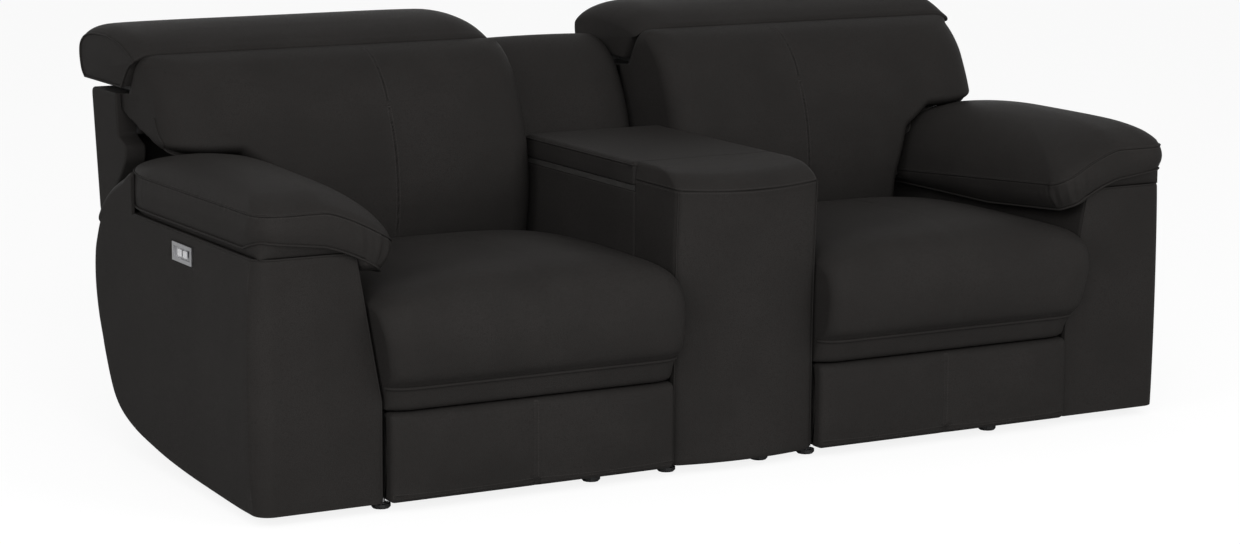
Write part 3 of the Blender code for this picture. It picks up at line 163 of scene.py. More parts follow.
def leather_finish(name, tone):
    """Satin leather: pebbled grain, soft dents, uneven gloss, and stitched seams where they are marked, with
    painted shade darkening their grooves.
    """
    made, inputs, place = new_finish(name)
    pebbles = place.node("ShaderNodeTexVoronoi", {"feature": "DISTANCE_TO_EDGE"},
                         {"Vector": place, "Scale": 430.0}, "Distance").over(0.0, 0.22)
    fine = place.noise(900.0, 3.0, 0.6)
    patches = place.noise(7.0, 3.0, 0.5)
    folds = place.stretch(1.0, 0.7, 2.2).noise(9.0, 2.0, 0.45)
    seam, run = (place.node("ShaderNodeAttribute", {"attribute_name": stored}, {}, "Fac")
                 for stored in ("seam", "run"))
    # the groove along a seam: a dent for the bump, and the mask of the painted shade in it
    groove_and_shade = seam.over(0.0022, 0.0)
    beat = run * 190.0
    stitch = (beat.math("FRACT", beat) > 0.28) * (seam > 0.0034) * (seam < 0.0046)
    pucker = run.node("ShaderNodeTexNoise", {"noise_dimensions": "1D"},
                      {"W": run * 60.0, "Scale": 1.0, "Detail": 2.0})
    normal = None
    for height, distance, strength in ((folds, 0.004, 0.35), (pebbles * 0.7 + fine * 0.3, 0.00035, 0.6),
                                       (pucker * seam.over(0.016, 0.002), 0.0022, 0.6),
                                       (1 - groove_and_shade, 0.0016, 0.9), (stitch, 0.0005, 0.8)):
        normal = relief(height, distance, strength, normal)
    shade = patches.over(0.25, 0.75).mix(tinted(tone, 0.86), tinted(tone, 1.10))
    shade = pebbles.mix(tinted(tone, 0.72), shade)
    # painted shade: the colour is darkened along the seam grooves, where shade falls in the crease
    shade = groove_and_shade.mix(shade, tinted(tone, 0.35))
    shade = (stitch * 0.5).mix(shade, tinted(tone, 1.9))
    fill(inputs, {"Base Color": shade, "Roughness": patches * 0.10 + fine * 0.06 + 0.40 - pebbles * 0.04,
                  "Normal": normal, "Specular IOR Level": 0.010})
    return made


def board_finish(name):
    """Plywood: pale streaks along the board, and darker layers on its edges."""
    made, inputs, place = new_finish(name)
    streaks = place.stretch(3.0, 60.0, 60.0).noise(2.0, 4.0, 0.6)
    layers = place.stretch(260.0, 260.0, 260.0).noise(1.0, 1.0)
    shade = streaks.over(0.3, 0.7).mix(colour(0.36, 0.25, 0.15), colour(0.50, 0.37, 0.23))
    shade = (layers.over(0.55, 0.7) * 0.25).mix(shade, colour(0.26, 0.17, 0.10))
    fill(inputs, {"Base Color": shade, "Roughness": streaks * 0.2 + 0.55, "Normal": relief(streaks, 0.0004, 0.4),
                  "Specular IOR Level": 0.3})
    return made


def coated_finish(name, tone, rough, metallic=0.0, grain=1400.0, depth=0.00012, worn=0.15):
    """A coated, plated or moulded surface: fine orange peel, uneven gloss and faint handling marks."""
    made, inputs, place = new_finish(name)
    peel = place.noise(grain, 2.0, 0.5)
    marks = place.stretch(1.0, 1.0, 3.0).noise(38.0, 4.0, 0.6).over(0.35, 0.75)
    shade = (marks * worn).mix(colour(*tone), colour(*[min(c * 1.6 + 0.01, 1.0) for c in tone]))
    fill(inputs, {"Base Color": shade, "Roughness": marks * 0.12 + rough, "Metallic": metallic,
                  "Normal": relief(peel, depth, 0.5)})
    return made


def foot_finish(name):
    """A moulded foot whose levelling stem is bright metal above its pad."""
    made, inputs, place = new_finish(name)
    height = place.node("ShaderNodeSeparateXYZ", {}, {"Vector": place}, "Z")
    stem = height.over(0.0095, 0.0105)
    scuffs = place.noise(300.0, 3.0, 0.6)
    fill(inputs, {"Base Color": stem.mix(colour(0.012), colour(0.50, 0.50, 0.51)), "Metallic": stem,
                  "Roughness": scuffs * 0.2 + 0.35, "Normal": relief(scuffs, 0.0002, 0.5)})
    return made


TONE = (0.0238, 0.0222, 0.0212)
FINISHES = {
    "leather": leather_finish("satin_leather", TONE),
    "lining": coated_finish("store_lining", (0.010, 0.010, 0.010), 0.75, 0.0, 2600.0, 0.0004, 0.3),
    "board": board_finish("plywood"),
    "dark_board": coated_finish("black_stained_board", (0.012, 0.011, 0.010), 0.6, 0.0, 700.0, 0.0003, 0.4),
    "steel": coated_finish("black_powder_coat", (0.018, 0.018, 0.019), 0.42),
    "zinc": coated_finish("zinc_plate", (0.52, 0.52, 0.53), 0.30, 1.0, 500.0, 0.0001),
    "plastic": coated_finish("moulded_plastic", (0.014, 0.014, 0.014), 0.45),
    "foot": foot_finish("levelling_foot"),
    "bezel": coated_finish("brushed_bezel", (0.42, 0.42, 0.43), 0.30, 1.0, 2200.0, 0.00008),
    "button": coated_finish("button_plastic", (0.55, 0.55, 0.56), 0.30, 0.0, 900.0, 0.00005),
}


# Shapes as arrays


def grows(value, start, run):
    """0 up to start, then evenly up to 1 over run."""
    return np.clip((value - start) / run, 0, 1)


def falls(value, end, run):
    """1 until run before end, then evenly down to 0 at end."""
    return np.clip((end - value) / run, 0, 1)


def bell(value, middle, width):
    """e to the power of less the square of the distance from the middle, in widths."""
    return np.exp(-((value - middle) / width) ** 2)


def drawn_in(near):
    """A quarter ellipse: from 1 where near is 0 down to 0 where near is 1."""
    return 1 - np.sqrt(1 - (1 - near) ** 2)


def quarter_turn(count):
    """Angles of a quarter turn."""
    return np.linspace(0, np.pi / 2, count)


def looped(line):
    """A closed line, or a closed row of rings, with its first place again at its end."""
    return np.concatenate([line, line[:1]])


def places(x, y, z):
    """Places in space from three coordinates, each of them a number or an array."""
    return np.stack(np.broadcast_arrays(x, y, z), axis=-1)


def smooth_through(points, count):
    """count evenly spaced places on the curve through the points. Each stretch is the cubic whose
    slope at a point is half the step between that point's two neighbours."""
    points = np.asarray(points, float)
    padded = np.concatenate([2 * points[:1] - points[1:2], points, 2 * points[-1:] - points[-2:-1]])
    a, b, c, d = (padded[i:len(padded) - 3 + i, None] for i in range(4))
    t = np.linspace(0, 1, 24, endpoint=False)[None, :, None]
    stretch = b + (c - a) * t / 2 + (2 * a - 5 * b + 4 * c - d) * t**2 / 2 + (3 * b - a - 3 * c + d) * t**3 / 2
    return evenly(np.concatenate([stretch.reshape(-1, points.shape[1]), points[-1:]]), count)


def run_along(line):
    """How far along a line each of its places is."""
    return np.concatenate([[0], np.cumsum(np.linalg.norm(np.diff(line, axis=0), axis=1))])


def evenly(dense, count, closed=False):
    """count places evenly spaced along a dense line, or all the way round a closed one."""
    if closed:
        dense = looped(dense)
    run = run_along(dense)
    wanted = np.linspace(0, run[-1], count, endpoint=not closed)
    return np.stack([np.interp(wanted, run, dense[:, i]) for i in range(dense.shape[1])], axis=1)


def corner_arcs(before, corners, after, radii, cuts):
    """At each corner, the parabola between the two places at its radius's distance along its sides."""
    start, end = (corners + (other - corners) / np.linalg.norm(other - corners, axis=1, keepdims=True) * radii
                  for other in (before, after))
    t = np.linspace(0, 1, cuts)[None, :, None]
    arcs = start[:, None] * (1 - t) ** 2 + 2 * corners[:, None] * t * (1 - t) + end[:, None] * t**2
    return arcs.reshape(-1, 2)


def rounded_outline(corners, radii, step):
    """A closed polygon with its corners rounded off, as places about step apart."""
    corners = np.asarray(corners, float)
    radii = np.broadcast_to(np.asarray(radii, float), len(corners))[:, None]
    dense = corner_arcs(np.roll(corners, 1, axis=0), corners, np.roll(corners, -1, axis=0), radii, 9)
    return evenly(dense, int(math.ceil(run_along(looped(dense))[-1] / step)), closed=True)


def rounded_path(corners, radius, count):
    """An open line with its inner corners rounded off, as evenly spaced places."""
    corners = np.asarray(corners, float)
    arcs = corner_arcs(corners[:-2], corners[1:-1], corners[2:], radius, 8)
    return evenly(np.concatenate([corners[:1], arcs, corners[-1:]]), count)


def outward(outline):
    """Unit normals of a closed flat outline, pointing away from its inside."""
    along = np.roll(outline, -1, axis=0) - np.roll(outline, 1, axis=0)
    normal = np.stack([along[:, 1], -along[:, 0]], axis=1)
    normal /= np.maximum(np.linalg.norm(normal, axis=1, keepdims=True), 1e-9)
    x, y = outline[:, 0], outline[:, 1]
    area = np.sum(x * np.roll(y, -1) - y * np.roll(x, -1))
    return normal if area > 0 else -normal


def closed_ends(rings, cuts, puff=(0.0, 0.0)):
    """The rings with both ends closed by copies of the end ring shrunk evenly to its middle, which
    stands out by puff, with a parabola's fall to the ring."""
    rings = np.asarray(rings, float)
    parts = []
    for edge, inner, amount, steps in ((rings[0], rings[1], puff[0], cuts[0]),
                                       (rings[-1], rings[-2], puff[1], cuts[1])):
        middle = edge.mean(axis=0)
        away = middle - inner.mean(axis=0)
        away /= max(np.linalg.norm(away), 1e-9)
        size = np.linspace(1, 0, steps + 1)[1:, None, None]
        parts.append(middle + (edge - middle) * size + away * amount * (1 - size**2))
    return np.concatenate([parts[0][::-1], rings, parts[1]])


def rope(path, radius, out, sink, closed=False, sides=8):
    """A round cord along a path: circles square to it, set out by radius times one less sink towards out."""
    out = np.broadcast_to(np.asarray(out, float), path.shape)
    along = np.roll(path, -1, axis=0) - np.roll(path, 1, axis=0) if closed else np.gradient(path, axis=0)
    along /= np.maximum(np.linalg.norm(along, axis=1, keepdims=True), 1e-9)
    first = out - (out * along).sum(axis=1, keepdims=True) * along
    first /= np.maximum(np.linalg.norm(first, axis=1, keepdims=True), 1e-9)
    second = np.cross(along, first)
    turn = 2 * np.pi * np.arange(sides) / sides
    middle = path + first * radius * (1 - sink)
    circle = first[:, None] * np.cos(turn)[None, :, None] + second[:, None] * np.sin(turn)[None, :, None]
    rings = middle[:, None] + radius * circle
    return looped(rings) if closed else closed_ends(rings, (1, 1))


def nearest_on(points, path):
    """How far each point is from a dense path, and how far along the path the nearest place is."""
    run = run_along(path)
    far = np.empty(len(points))
    along = np.empty(len(points))
    size = 4000
    for start in range(0, len(points), size):
        block = points[start:start + size]
        gaps = np.linalg.norm(block[:, None] - path[None], axis=2)
        best = gaps.argmin(axis=1)
        far[start:start + size] = gaps[np.arange(len(block)), best]
        along[start:start + size] = run[best]
    return far, along


def lifted(flat, heights):
    """Flat places with their heights added: one number, or an array that fits them."""
    return places(flat[..., 0], flat[..., 1], heights)


def stretch_where(keep):
    """The order in which a closed line's kept places make one stretch."""
    order = np.roll(np.arange(len(keep)), -int(np.argmax(~keep)))
    return order[keep[order]]


def box_rings(outline, low, high, edge, cuts=(10, 10), spans=24):
    """A flat outline in Y and Z carried across from low to high with rounded ends. Near an end it
    draws in by edge times one less the cosine."""
    normals = outward(outline)
    turn = quarter_turn(6)
    ease = np.linspace(0, 1, spans)[1:-1]
    along = np.concatenate([low + edge * (1 - np.sin(turn[::-1])), low + edge + (high - low - 2 * edge) * ease,
                            high - edge * (1 - np.sin(turn))])
    inset = np.concatenate([edge * (1 - np.cos(turn[::-1])), np.zeros(spans - 2), edge * (1 - np.cos(turn))])
    flat = outline[None] - normals[None] * inset[:, None, None]
    return closed_ends(places(along[:, None], flat[..., 0], flat[..., 1]), cuts)


# Pieces


def placed(name, data):
    """A new object in the scene."""
    made = bpy.data.objects.new(name, data)
    bpy.context.scene.collection.objects.link(made)
    return made


def woven(skins):
    """Points and quads of closed skins: arrays of rings, joined in turn, every ring closed on itself."""
    points, faces, start = [], [], 0
    for skin in skins:
        rings, count = skin.shape[:2]
        index = np.arange(rings * count).reshape(rings, count) + start
        after = np.roll(index, -1, axis=1)
        quads = np.stack([index[:-1], after[:-1], after[1:], index[1:]], axis=2)
        points.append(skin.reshape(-1, 3))
        faces.append(quads.reshape(-1, 4))
        start += rings * count
    return np.concatenate(points), np.concatenate(faces)


def weld(mesh):
    """Joins the points that fall together and turns every face outwards."""
    work = bmesh.new()
    work.from_mesh(mesh)
    bmesh.ops.remove_doubles(work, verts=work.verts, dist=WELD_REACH)
    bmesh.ops.recalc_face_normals(work, faces=work.faces)
    work.to_mesh(mesh)
    work.free()


def worked_out(made):
    """A mesh of the object with its modifiers worked out."""
    return bpy.data.meshes.new_from_object(made.evaluated_get(bpy.context.evaluated_depsgraph_get()))


def read_out(items, kind):
    """The places of a mesh's points or faces, as rows."""
    flat = np.empty(len(items) * 3, np.float32)
    items.foreach_get(kind, flat)
    return flat.reshape(-1, 3).astype(float)


CLOTH_FRAMES, CLOTH_PRESSURE, WELD_REACH = 20, 4.0, 2e-6
SWOLLEN = {}  # what each kind of cover's cloth gave, worked out once and used on both sides


def blown_up(skin, ties, free, voxel):
    """The points of an even mesh of the skin, and how each of them moves as cloth blown up from
    inside. It is held where free is 0, and along the ties: fully within 3.6 mm, not past 15.6 mm."""
    points, quads = woven([skin])
    mesh = bpy.data.meshes.new("cloth")
    mesh.from_pydata(points.tolist(), [], quads.tolist())
    weld(mesh)
    made = placed("cloth", mesh)
    even = made.modifiers.new("even", "REMESH")
    even.mode, even.voxel_size = "VOXEL", voxel
    made.data = worked_out(made)
    made.modifiers.clear()
    rest = read_out(made.data.vertices, "co")
    hold = 1 - np.clip(free(rest), 0, 1)
    for path in ties:
        far, _ = nearest_on(rest, evenly(path, 400))
        hold = np.maximum(hold, np.clip(1.3 - far / 0.012, 0, 1))
    group = made.vertex_groups.new(name="hold")
    levels = np.round(hold * 10).astype(int)
    for level in range(1, 11):
        group.add(np.nonzero(levels == level)[0].tolist(), level / 10, "REPLACE")
    cloth = made.modifiers.new("cloth", "CLOTH")
    cloth.settings.quality = 5
    cloth.settings.vertex_group_mass = "hold"
    cloth.settings.use_pressure = True
    cloth.settings.uniform_pressure_force = CLOTH_PRESSURE
    cloth.settings.effector_weights.gravity = 0.0
    cloth.collision_settings.use_collision = False
    cloth.point_cache.frame_start, cloth.point_cache.frame_end = 1, CLOTH_FRAMES
    for step in range(1, CLOTH_FRAMES + 1):
        bpy.context.scene.frame_set(step)
    after = read_out(worked_out(made).vertices, "co")
    bpy.data.objects.remove(made)
    bpy.context.scene.frame_set(1)
    return rest, after - rest


def swell(kind, skin, ties, free, cap, voxel=0.008):
    """A function from a filled cover's points to their shifts. A shift s of its cloth is eased to
    cap times tanh(s / cap). Shifts are averaged onto a grid of cells, blurred there, and read
    back between its cells."""
    if kind not in SWOLLEN:
        rest, shift = blown_up(skin, ties, free, voxel)
        size = np.maximum(np.linalg.norm(shift, axis=1, keepdims=True), 1e-9)
        shift *= cap * np.tanh(size / cap) / size
        low = rest.min(axis=0) - 5 * voxel
        cells = np.round((rest - low) / voxel).astype(int)
        grid = np.zeros(tuple(cells.max(axis=0) + 6) + (4,))
        np.add.at(grid, tuple(cells.T), np.concatenate([shift, np.ones((len(shift), 1))], axis=1))
        for axis in (0, 1, 2, 0, 1, 2):
            grid = (np.roll(grid, 1, axis) + 2 * grid + np.roll(grid, -1, axis)) / 4
        SWOLLEN[kind] = low, grid
    low, grid = SWOLLEN[kind]

    def moved(points):
        place = np.clip((points.reshape(-1, 3) - low) / voxel, 0, np.array(grid.shape[:3]) - 1.001)
        cell = place.astype(int)
        part = place - cell
        total = np.zeros((len(place), 4))
        for corner in np.ndindex(2, 2, 2):
            weight = np.prod(np.where(corner, part, 1 - part), axis=1)
            total += weight[:, None] * grid[tuple((cell + corner).T)]
        return (total[:, :3] / np.maximum(total[:, 3:], 1e-4)).reshape(points.shape)

    return moved


def build(name, skins, side, body, nodes=(), seams=(), shift=None, bend=None):
    """One leather piece from closed skins, first moved by the shift.

    Distances to the seams and along them are stored for the finish. The piece rides on its body, or,
    where bend is given, keeps its place in the world with its transform baked in. It stands for the
    CAD nodes, which it hides.
    """
    if shift is not None:
        skins = [skin + shift(skin) for skin in skins]
        seams = [path + shift(path) for path in seams]
    points, quads = woven(skins)
    seam = np.ones(len(points))
    run = np.zeros(len(points))
    for path in seams:
        far, along = nearest_on(points, evenly(path, int(run_along(path)[-1] / 0.002) + 2))
        run = np.where(far < seam, along, run)
        seam = np.minimum(seam, far)
    points = points * np.array([side, 1, 1])
    mesh = bpy.data.meshes.new(name)
    mesh.from_pydata(points.tolist(), [], quads.tolist())
    for label, values in (("seam", seam), ("run", run)):
        mesh.attributes.new(label, "FLOAT", "POINT").data.foreach_set("value", values.astype(np.float32))
    weld(mesh)
    mesh.polygons.foreach_set("use_smooth", np.ones(len(mesh.polygons), bool))
    mesh.update()
    mesh.materials.append(FINISHES["leather"])
    made = placed(name, mesh)
    if bend is None:
        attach(made, body)
    else:
        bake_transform(made)
    if nodes:
        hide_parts(*nodes)
    return made


# Arms

ARM_INNER, ARM_OUTER = 0.756, 0.998
ARM_TOP_Z, ARM_SLOPE_Z, FLOOR_GAP = 0.4812, 0.207, 0.02
SWITCH_Y, SWITCH_Z, SWITCH_POCKET = back(0.343), 0.443, (0.033, 0.0946, 0.0356)
# Rear edge of the arm from its underside up: depth, height
ARM_REAR = smooth_through(((0.100, 0.0200), (0.200, 0.0235), (0.332, 0.0290), (0.433, 0.0360), (0.514, 0.0450),
                           (0.612, 0.0600), (0.681, 0.0800), (0.723, 0.1050), (0.751, 0.1400), (0.778, 0.1900),
                           (0.785, 0.2070), (0.808, 0.2600), (0.821, 0.3200), (0.819, 0.3750), (0.806, 0.4100),
                           (0.786, 0.4450), (0.755, 0.4812)), 110)
# Shoulder behind the pillow: depth, height
SHOULDER = ((0.590, 0.5600), (0.605, 0.5595), (0.643, 0.5470), (0.686, 0.5305), (0.724, 0.5120), (0.760, 0.4860),
            (0.784, 0.4600), (0.790, 0.4540))


def arm_inner_x(z):
    """The arm's inner face: upright, then sloping outwards to the narrower top."""
    return ARM_INNER + 0.049 * grows(z, ARM_SLOPE_Z, ARM_TOP_Z - ARM_SLOPE_Z)


def plan_loop(low_x, high_x, low_y, high_y, radii, count):
    """Rings of round-cornered rectangles in plan; each argument may differ from ring to ring, and a
    radius may be a pair for x and y. Corners run low-low, high-low, high-high, low-high, and each side
    and corner has its own share of count."""
    turn = quarter_turn(count)
    low_x, high_x, low_y, high_y = (np.atleast_1d(v).astype(float)[:, None]
                                    for v in (low_x, high_x, low_y, high_y))
    rings = max(len(v) for v in (low_x, high_x, low_y, high_y))
    ends = ((low_x, low_y, 1, 1, np.pi), (high_x, low_y, -1, 1, 1.5 * np.pi),
            (high_x, high_y, -1, -1, 0.0), (low_x, high_y, 1, -1, 0.5 * np.pi))
    corners = []
    for (x, y, in_x, in_y, begin), radius in zip(ends, radii):
        reach_x, reach_y = np.broadcast_to(radius, 2)
        angle = begin + turn
        corners.append(np.stack([np.broadcast_to(x + in_x * reach_x + reach_x * np.cos(angle), (rings, count)),
                                 np.broadcast_to(y + in_y * reach_y + reach_y * np.sin(angle), (rings, count))],
                                axis=2))
    sides = []
    share = np.linspace(0, 1, 3 * count)[1:-1][None, :, None]
    for corner, following in zip(corners, corners[1:] + corners[:1]):
        sides.append(corner)
        sides.append(corner[:, -1:] * (1 - share) + following[:, :1] * share)
    return np.concatenate(sides, axis=1)


def shoulder_skin():
    """Sections along the arm behind the pillow's drawn-in end: quarter-round over the outer side,
    sinking into the arm below, and keeping clear of the pillow on the inner side."""
    depth = np.concatenate([np.linspace(0.600, 0.690, 34), np.linspace(0.693, 0.778, 30)])
    inner = pillow_outer_x(depth) + 0.0020
    inner = np.where(depth > PILLOW_REAR + 0.002, np.maximum(0.925 - 3.2 * (depth - PILLOW_REAR), 0.815), inner)
    curve = smooth_through(SHOULDER, 120)
    high = np.interp(depth, curve[:, 0], curve[:, 1])
    width = ARM_OUTER + 0.0004 - inner
    over = np.minimum(0.020, width * 0.8)
    outer, turn = ARM_OUTER + 0.0006, quarter_turn(9)
    foot = np.linspace(0, 1, 8)[:-1]
    low = np.minimum(0.440, high - over - 0.004)
    side_z = low[:, None] + foot[None] * (high - over - low)[:, None]
    side_x = outer - 0.0022 * (1 - foot[None]) ** 2 + 0 * side_z
    arc_x = outer - over[:, None] * (1 - np.cos(turn))[None]
    arc_z = (high - over)[:, None] + over[:, None] * np.sin(turn)[None]
    across_top = np.linspace(0, 1, 8)[1:]
    top_x = arc_x[:, -1:] + (inner[:, None] - arc_x[:, -1:]) * across_top[None]
    top_z = arc_z[:, -1:] - 0.006 * across_top[None] ** 2 + 0 * top_x
    x = np.concatenate([side_x, arc_x, top_x, inner[:, None]], axis=1)
    z = np.concatenate([side_z, arc_z, top_z, low[:, None]], axis=1)
    return closed_ends(places(x, back(depth)[:, None], z), (3, 3))


def make_arm(side, label):
    """Plan loops stacked up the arm, spaced along its swept rear edge, with a rounded top edge, and
    the shoulder behind the pillow."""
    top = 0.006
    turn = quarter_turn(6)
    below = ARM_REAR[ARM_REAR[:, 1] < ARM_TOP_Z - top - 0.002]
    over_z = ARM_TOP_Z - top * (1 - np.sin(turn))
    levels = np.concatenate([[FLOOR_GAP], below[:, 1], over_z])
    rear = np.concatenate([[0.096], below[:, 0], np.interp(over_z, ARM_REAR[:, 1], ARM_REAR[:, 0])])
    inset = np.concatenate([[0.003], np.zeros(len(below)), top * (1 - np.cos(turn))])
    corner = (0.008, 0.031, 0.022, 0.010)
    body = plan_loop(arm_inner_x(levels) + inset, ARM_OUTER - inset, back(0) + inset, back(rear) - inset,
                     corner, 12)
    rings = lifted(body, levels[:, None])
    depth = rings[..., 1] - back(0)
    high = grows(rings[..., 2], FLOOR_GAP, 0.452)
    full = np.sin(np.pi * high) ** 0.6 * grows(depth, 0, 0.03) * falls(depth, 0.30, 0.25) ** 1.5
    rings[..., 0] += 0.008 * full * grows(rings[..., 0], 0.90, 0.08)
    skins = [shoulder_skin()]
    piping_z = ARM_TOP_Z - 0.0015
    path = plan_loop(arm_inner_x(piping_z) + 0.003, ARM_OUTER - 0.003, back(0.003), back(0.752), corner, 12)
    loop = lifted(path[0], piping_z)
    away = lifted(outward(path[0]), 0.8)
    order = stretch_where(loop[:, 1] < back(0.61))
    skins.append(rope(loop[order], 0.0021, away[order], 0.4))
    levels = np.linspace(FLOOR_GAP + 0.004, ARM_TOP_Z - 0.004, 160)
    inner_edge = places(arm_inner_x(levels) + 0.0048, back(0.0025), levels)
    skins.append(rope(inner_edge, 0.0021, (-0.7, -0.7, 0.0), 0.3))
    build(f"{label}_arm_trim", skins, side, "sofa_frame")
    cover = build(f"{label}_arm_cover", [closed_ends(rings, (6, 6))], side, "sofa_frame", [f"{label}_arm"],
                  seams=[places(ARM_OUTER, back(0.032), levels)])
    pocket = bpy.data.meshes.new(f"{label}_switch_pocket")
    work = bmesh.new()
    place = Matrix.Translation((side * (ARM_OUTER + 0.004), SWITCH_Y, SWITCH_Z))
    bmesh.ops.create_cube(work, size=1.0, matrix=place @ Matrix.Diagonal((*SWITCH_POCKET, 1.0)))
    work.to_mesh(pocket)
    work.free()
    cutter = placed(f"{label}_switch_pocket", pocket)
    cut = cover.modifiers.new("switch_pocket", "BOOLEAN")
    cut.operation, cut.object, cut.solver = "DIFFERENCE", cutter, "EXACT"
    result = worked_out(cover)
    cover.modifiers.remove(cut)
    cover.data = result
    bpy.data.objects.remove(cutter)


# Arm pillows

PILLOW_LOW, PILLOW_HIGH, PILLOW_REAR = 0.731, 0.998, 0.700
PILLOW_CORNER = (0.088, 0.180)


def pillow_outer_x(depth):
    """The pillow's outer side in plan, with the quarter ellipse that draws in its rear end."""
    reach, run = PILLOW_CORNER
    along = grows(depth, PILLOW_REAR - run, run)
    return PILLOW_HIGH - reach * (1 - np.sqrt(1 - along**2))


def pillow_loops(count):
    """The pillow's upper and lower seams as matching loops in plan, from the inner front corner."""
    outline = plan_loop(PILLOW_LOW, PILLOW_HIGH, back(-0.014), back(PILLOW_REAR),
                        (0.040, 0.046, PILLOW_CORNER, 0.050), 18)[0]
    outline = evenly(outline, count, closed=True)
    x, y = outline[:, 0], outline[:, 1]
    depth = y - back(0)
    front_z = 0.560 - 0.066 * falls(x, 0.872, 0.143) ** 1.35
    rear_z = 0.557 - 0.106 * falls(x, 0.900, 0.16) ** 1.3
    share = grows(depth, 0, 0.60)
    upper_z = front_z * (1 - share) + rear_z * share
    at_corner = np.clip(1 - depth / 0.055, 0, 1) * grows(x, 0.86, 0.13)
    at_inside = falls(x, 0.79, 0.05)
    lower_z = upper_z - 0.062 + 0.016 * at_corner + 0.010 * at_inside
    lower_z = np.maximum(lower_z, 0.424)
    upper = places(x, y, upper_z)
    shift = at_inside * 0.022
    lower = places(x + shift, y + 0.004 * np.clip(1 - depth / 0.05, 0, 1), lower_z)
    return upper, lower


def make_pillow(side, label):
    """From the middle of the underside out to the lower seam, up the boxing to the upper seam, and
    over the crown to the middle. The crown rises as one less the fourth power of the way out, to the
    power of 0.60. Pleats along the boxing are sines of the way round it."""
    count = 320
    upper, lower = pillow_loops(count)
    rise = np.linspace(0, 1, 12)[:, None, None]
    away = lifted(outward(upper[:, :2]), 0.0)
    depth = upper[:, 1] - back(0)
    tucks = bell(depth, 0, 0.05) * falls(upper[:, 0], 0.84, 0.08) + 0.25 * bell(depth, 0.62, 0.08)
    run = np.cumsum(np.linalg.norm(np.diff(upper, axis=0, prepend=upper[-1:]), axis=1))
    fold = 1 + tucks * (0.55 * np.sin(run * 300) + 0.35 * np.sin(run * 171 + 1.0))
    fold = fold * (1 - 0.75 * grows(depth, 0.48, 0.12) * (upper[:, 0] > 0.87))
    boxing = lower * (1 - rise) + upper * rise + away * (0.0065 * np.sin(np.pi * rise) * fold[None, :, None])
    middle = np.array([0.868, back(0.35)])
    size = np.linspace(1, 0, 46)[1:, None, None]
    plan = middle + (upper[None, :, :2] - middle) * size
    depth = plan[..., 1] - back(0)
    crown_z = 0.6070 - 0.032 * grows(depth, 0.35, 0.40) ** 1.6
    rearwards = grows(depth, 0.20, 0.30)
    crown_z = crown_z - (0.10 - 0.06 * rearwards) * falls(plan[..., 0], 0.885, 0.25) ** 1.5
    crown_z = crown_z - 0.006 * falls(depth, 0.05, 0.06)
    share = (1 - size[..., 0] ** 4.0) ** (0.60 - 0.16 * rearwards * falls(plan[..., 0], 0.85, 0.06))
    top_z = upper[None, :, 2] + (np.maximum(crown_z, upper[None, :, 2]) - upper[None, :, 2]) * share
    top = lifted(plan, top_z)
    under = np.linspace(0.0, 1, 8)[1:-1][:, None, None]
    rest = places(np.clip(lower[:, 0], 0.812, 0.990), np.clip(lower[:, 1], back(0.006), back(0.68)),
                  ARM_TOP_Z + 0.0006)
    rest[:, 0] = np.minimum(rest[:, 0], pillow_outer_x(rest[:, 1] - back(0)) - 0.008)
    lip = places(np.maximum(lower[:, 0], arm_inner_x(0.45) - 0.004), lower[:, 1], lower[:, 2] + 0.004)
    inside = lower[:, 0] < 0.80
    knee = np.where(inside[:, None], lip, lower * 0.5 + rest * 0.5)
    bend = np.abs(2 * under - 1)
    curve = knee[None] * (1 - bend) + np.where(under < 0.5, rest[None], lower[None]) * bend
    seat_middle = rest.mean(axis=0)
    floor = seat_middle + (rest[None] - seat_middle) * np.linspace(0, 1, 7)[:-1, None, None]
    rings = np.concatenate([floor, rest[None], curve, boxing, top])
    skins = [rings, rope(upper, 0.0016, away + np.array([0, 0, 0.6]), 0.5, closed=True),
             rope(lower, 0.0022, away - np.array([0, 0, 0.3]), 0.3, closed=True)]

    def free(p):
        high = p[:, 2] - 0.49 + 0.06 * (p[:, 0] < 0.8)
        return grows(high, 0, 0.01) * falls(p[:, 1], back(0.62), 0.05)

    upper, lower = looped(upper), looped(lower)
    build(f"{label}_pillow_cover", skins, side, "sofa_frame", [f"{label}_arm_pillow"], seams=[upper],
          shift=swell("pillow", rings, [upper, lower], free, 0.006))


# Seats

SEAT_LOW, SEAT_HIGH = 0.160, 0.752
SEAT_SEAM_Z, SEAT_EDGE_Z, SEAT_CROWN, DECK_Z = 0.236, 0.402, 0.034, 0.2457
SEAT_LENGTH = 0.605
# Side view above the piping: share of the length, share of the height, how far it follows the crown
SEAT_PROFILE = ((0.0645, 0.0, 0.0), (0.022, 0.12, 0.0), (0.004, 0.32, 0.0), (0.0, 0.58, 0.1), (0.018, 0.80, 0.4),
                (0.06, 0.94, 0.8), (0.14, 1.0, 1.0), (0.32, 1.02, 1.0), (0.55, 1.02, 1.0), (0.76, 0.99, 0.9),
                (0.91, 0.93, 0.6), (0.985, 0.80, 0.2), (1.0, 0.58, 0.0), (1.0, 0.06, 0.0))


def side_stations(low, high, reach, spans, ends=14):
    """Places across a piece, closer together near its ends."""
    turn = quarter_turn(ends)[:-1]
    near = reach * (1 - np.cos(turn))
    return np.concatenate([low + near, np.linspace(low + reach, high - reach, spans), high - near[::-1]])


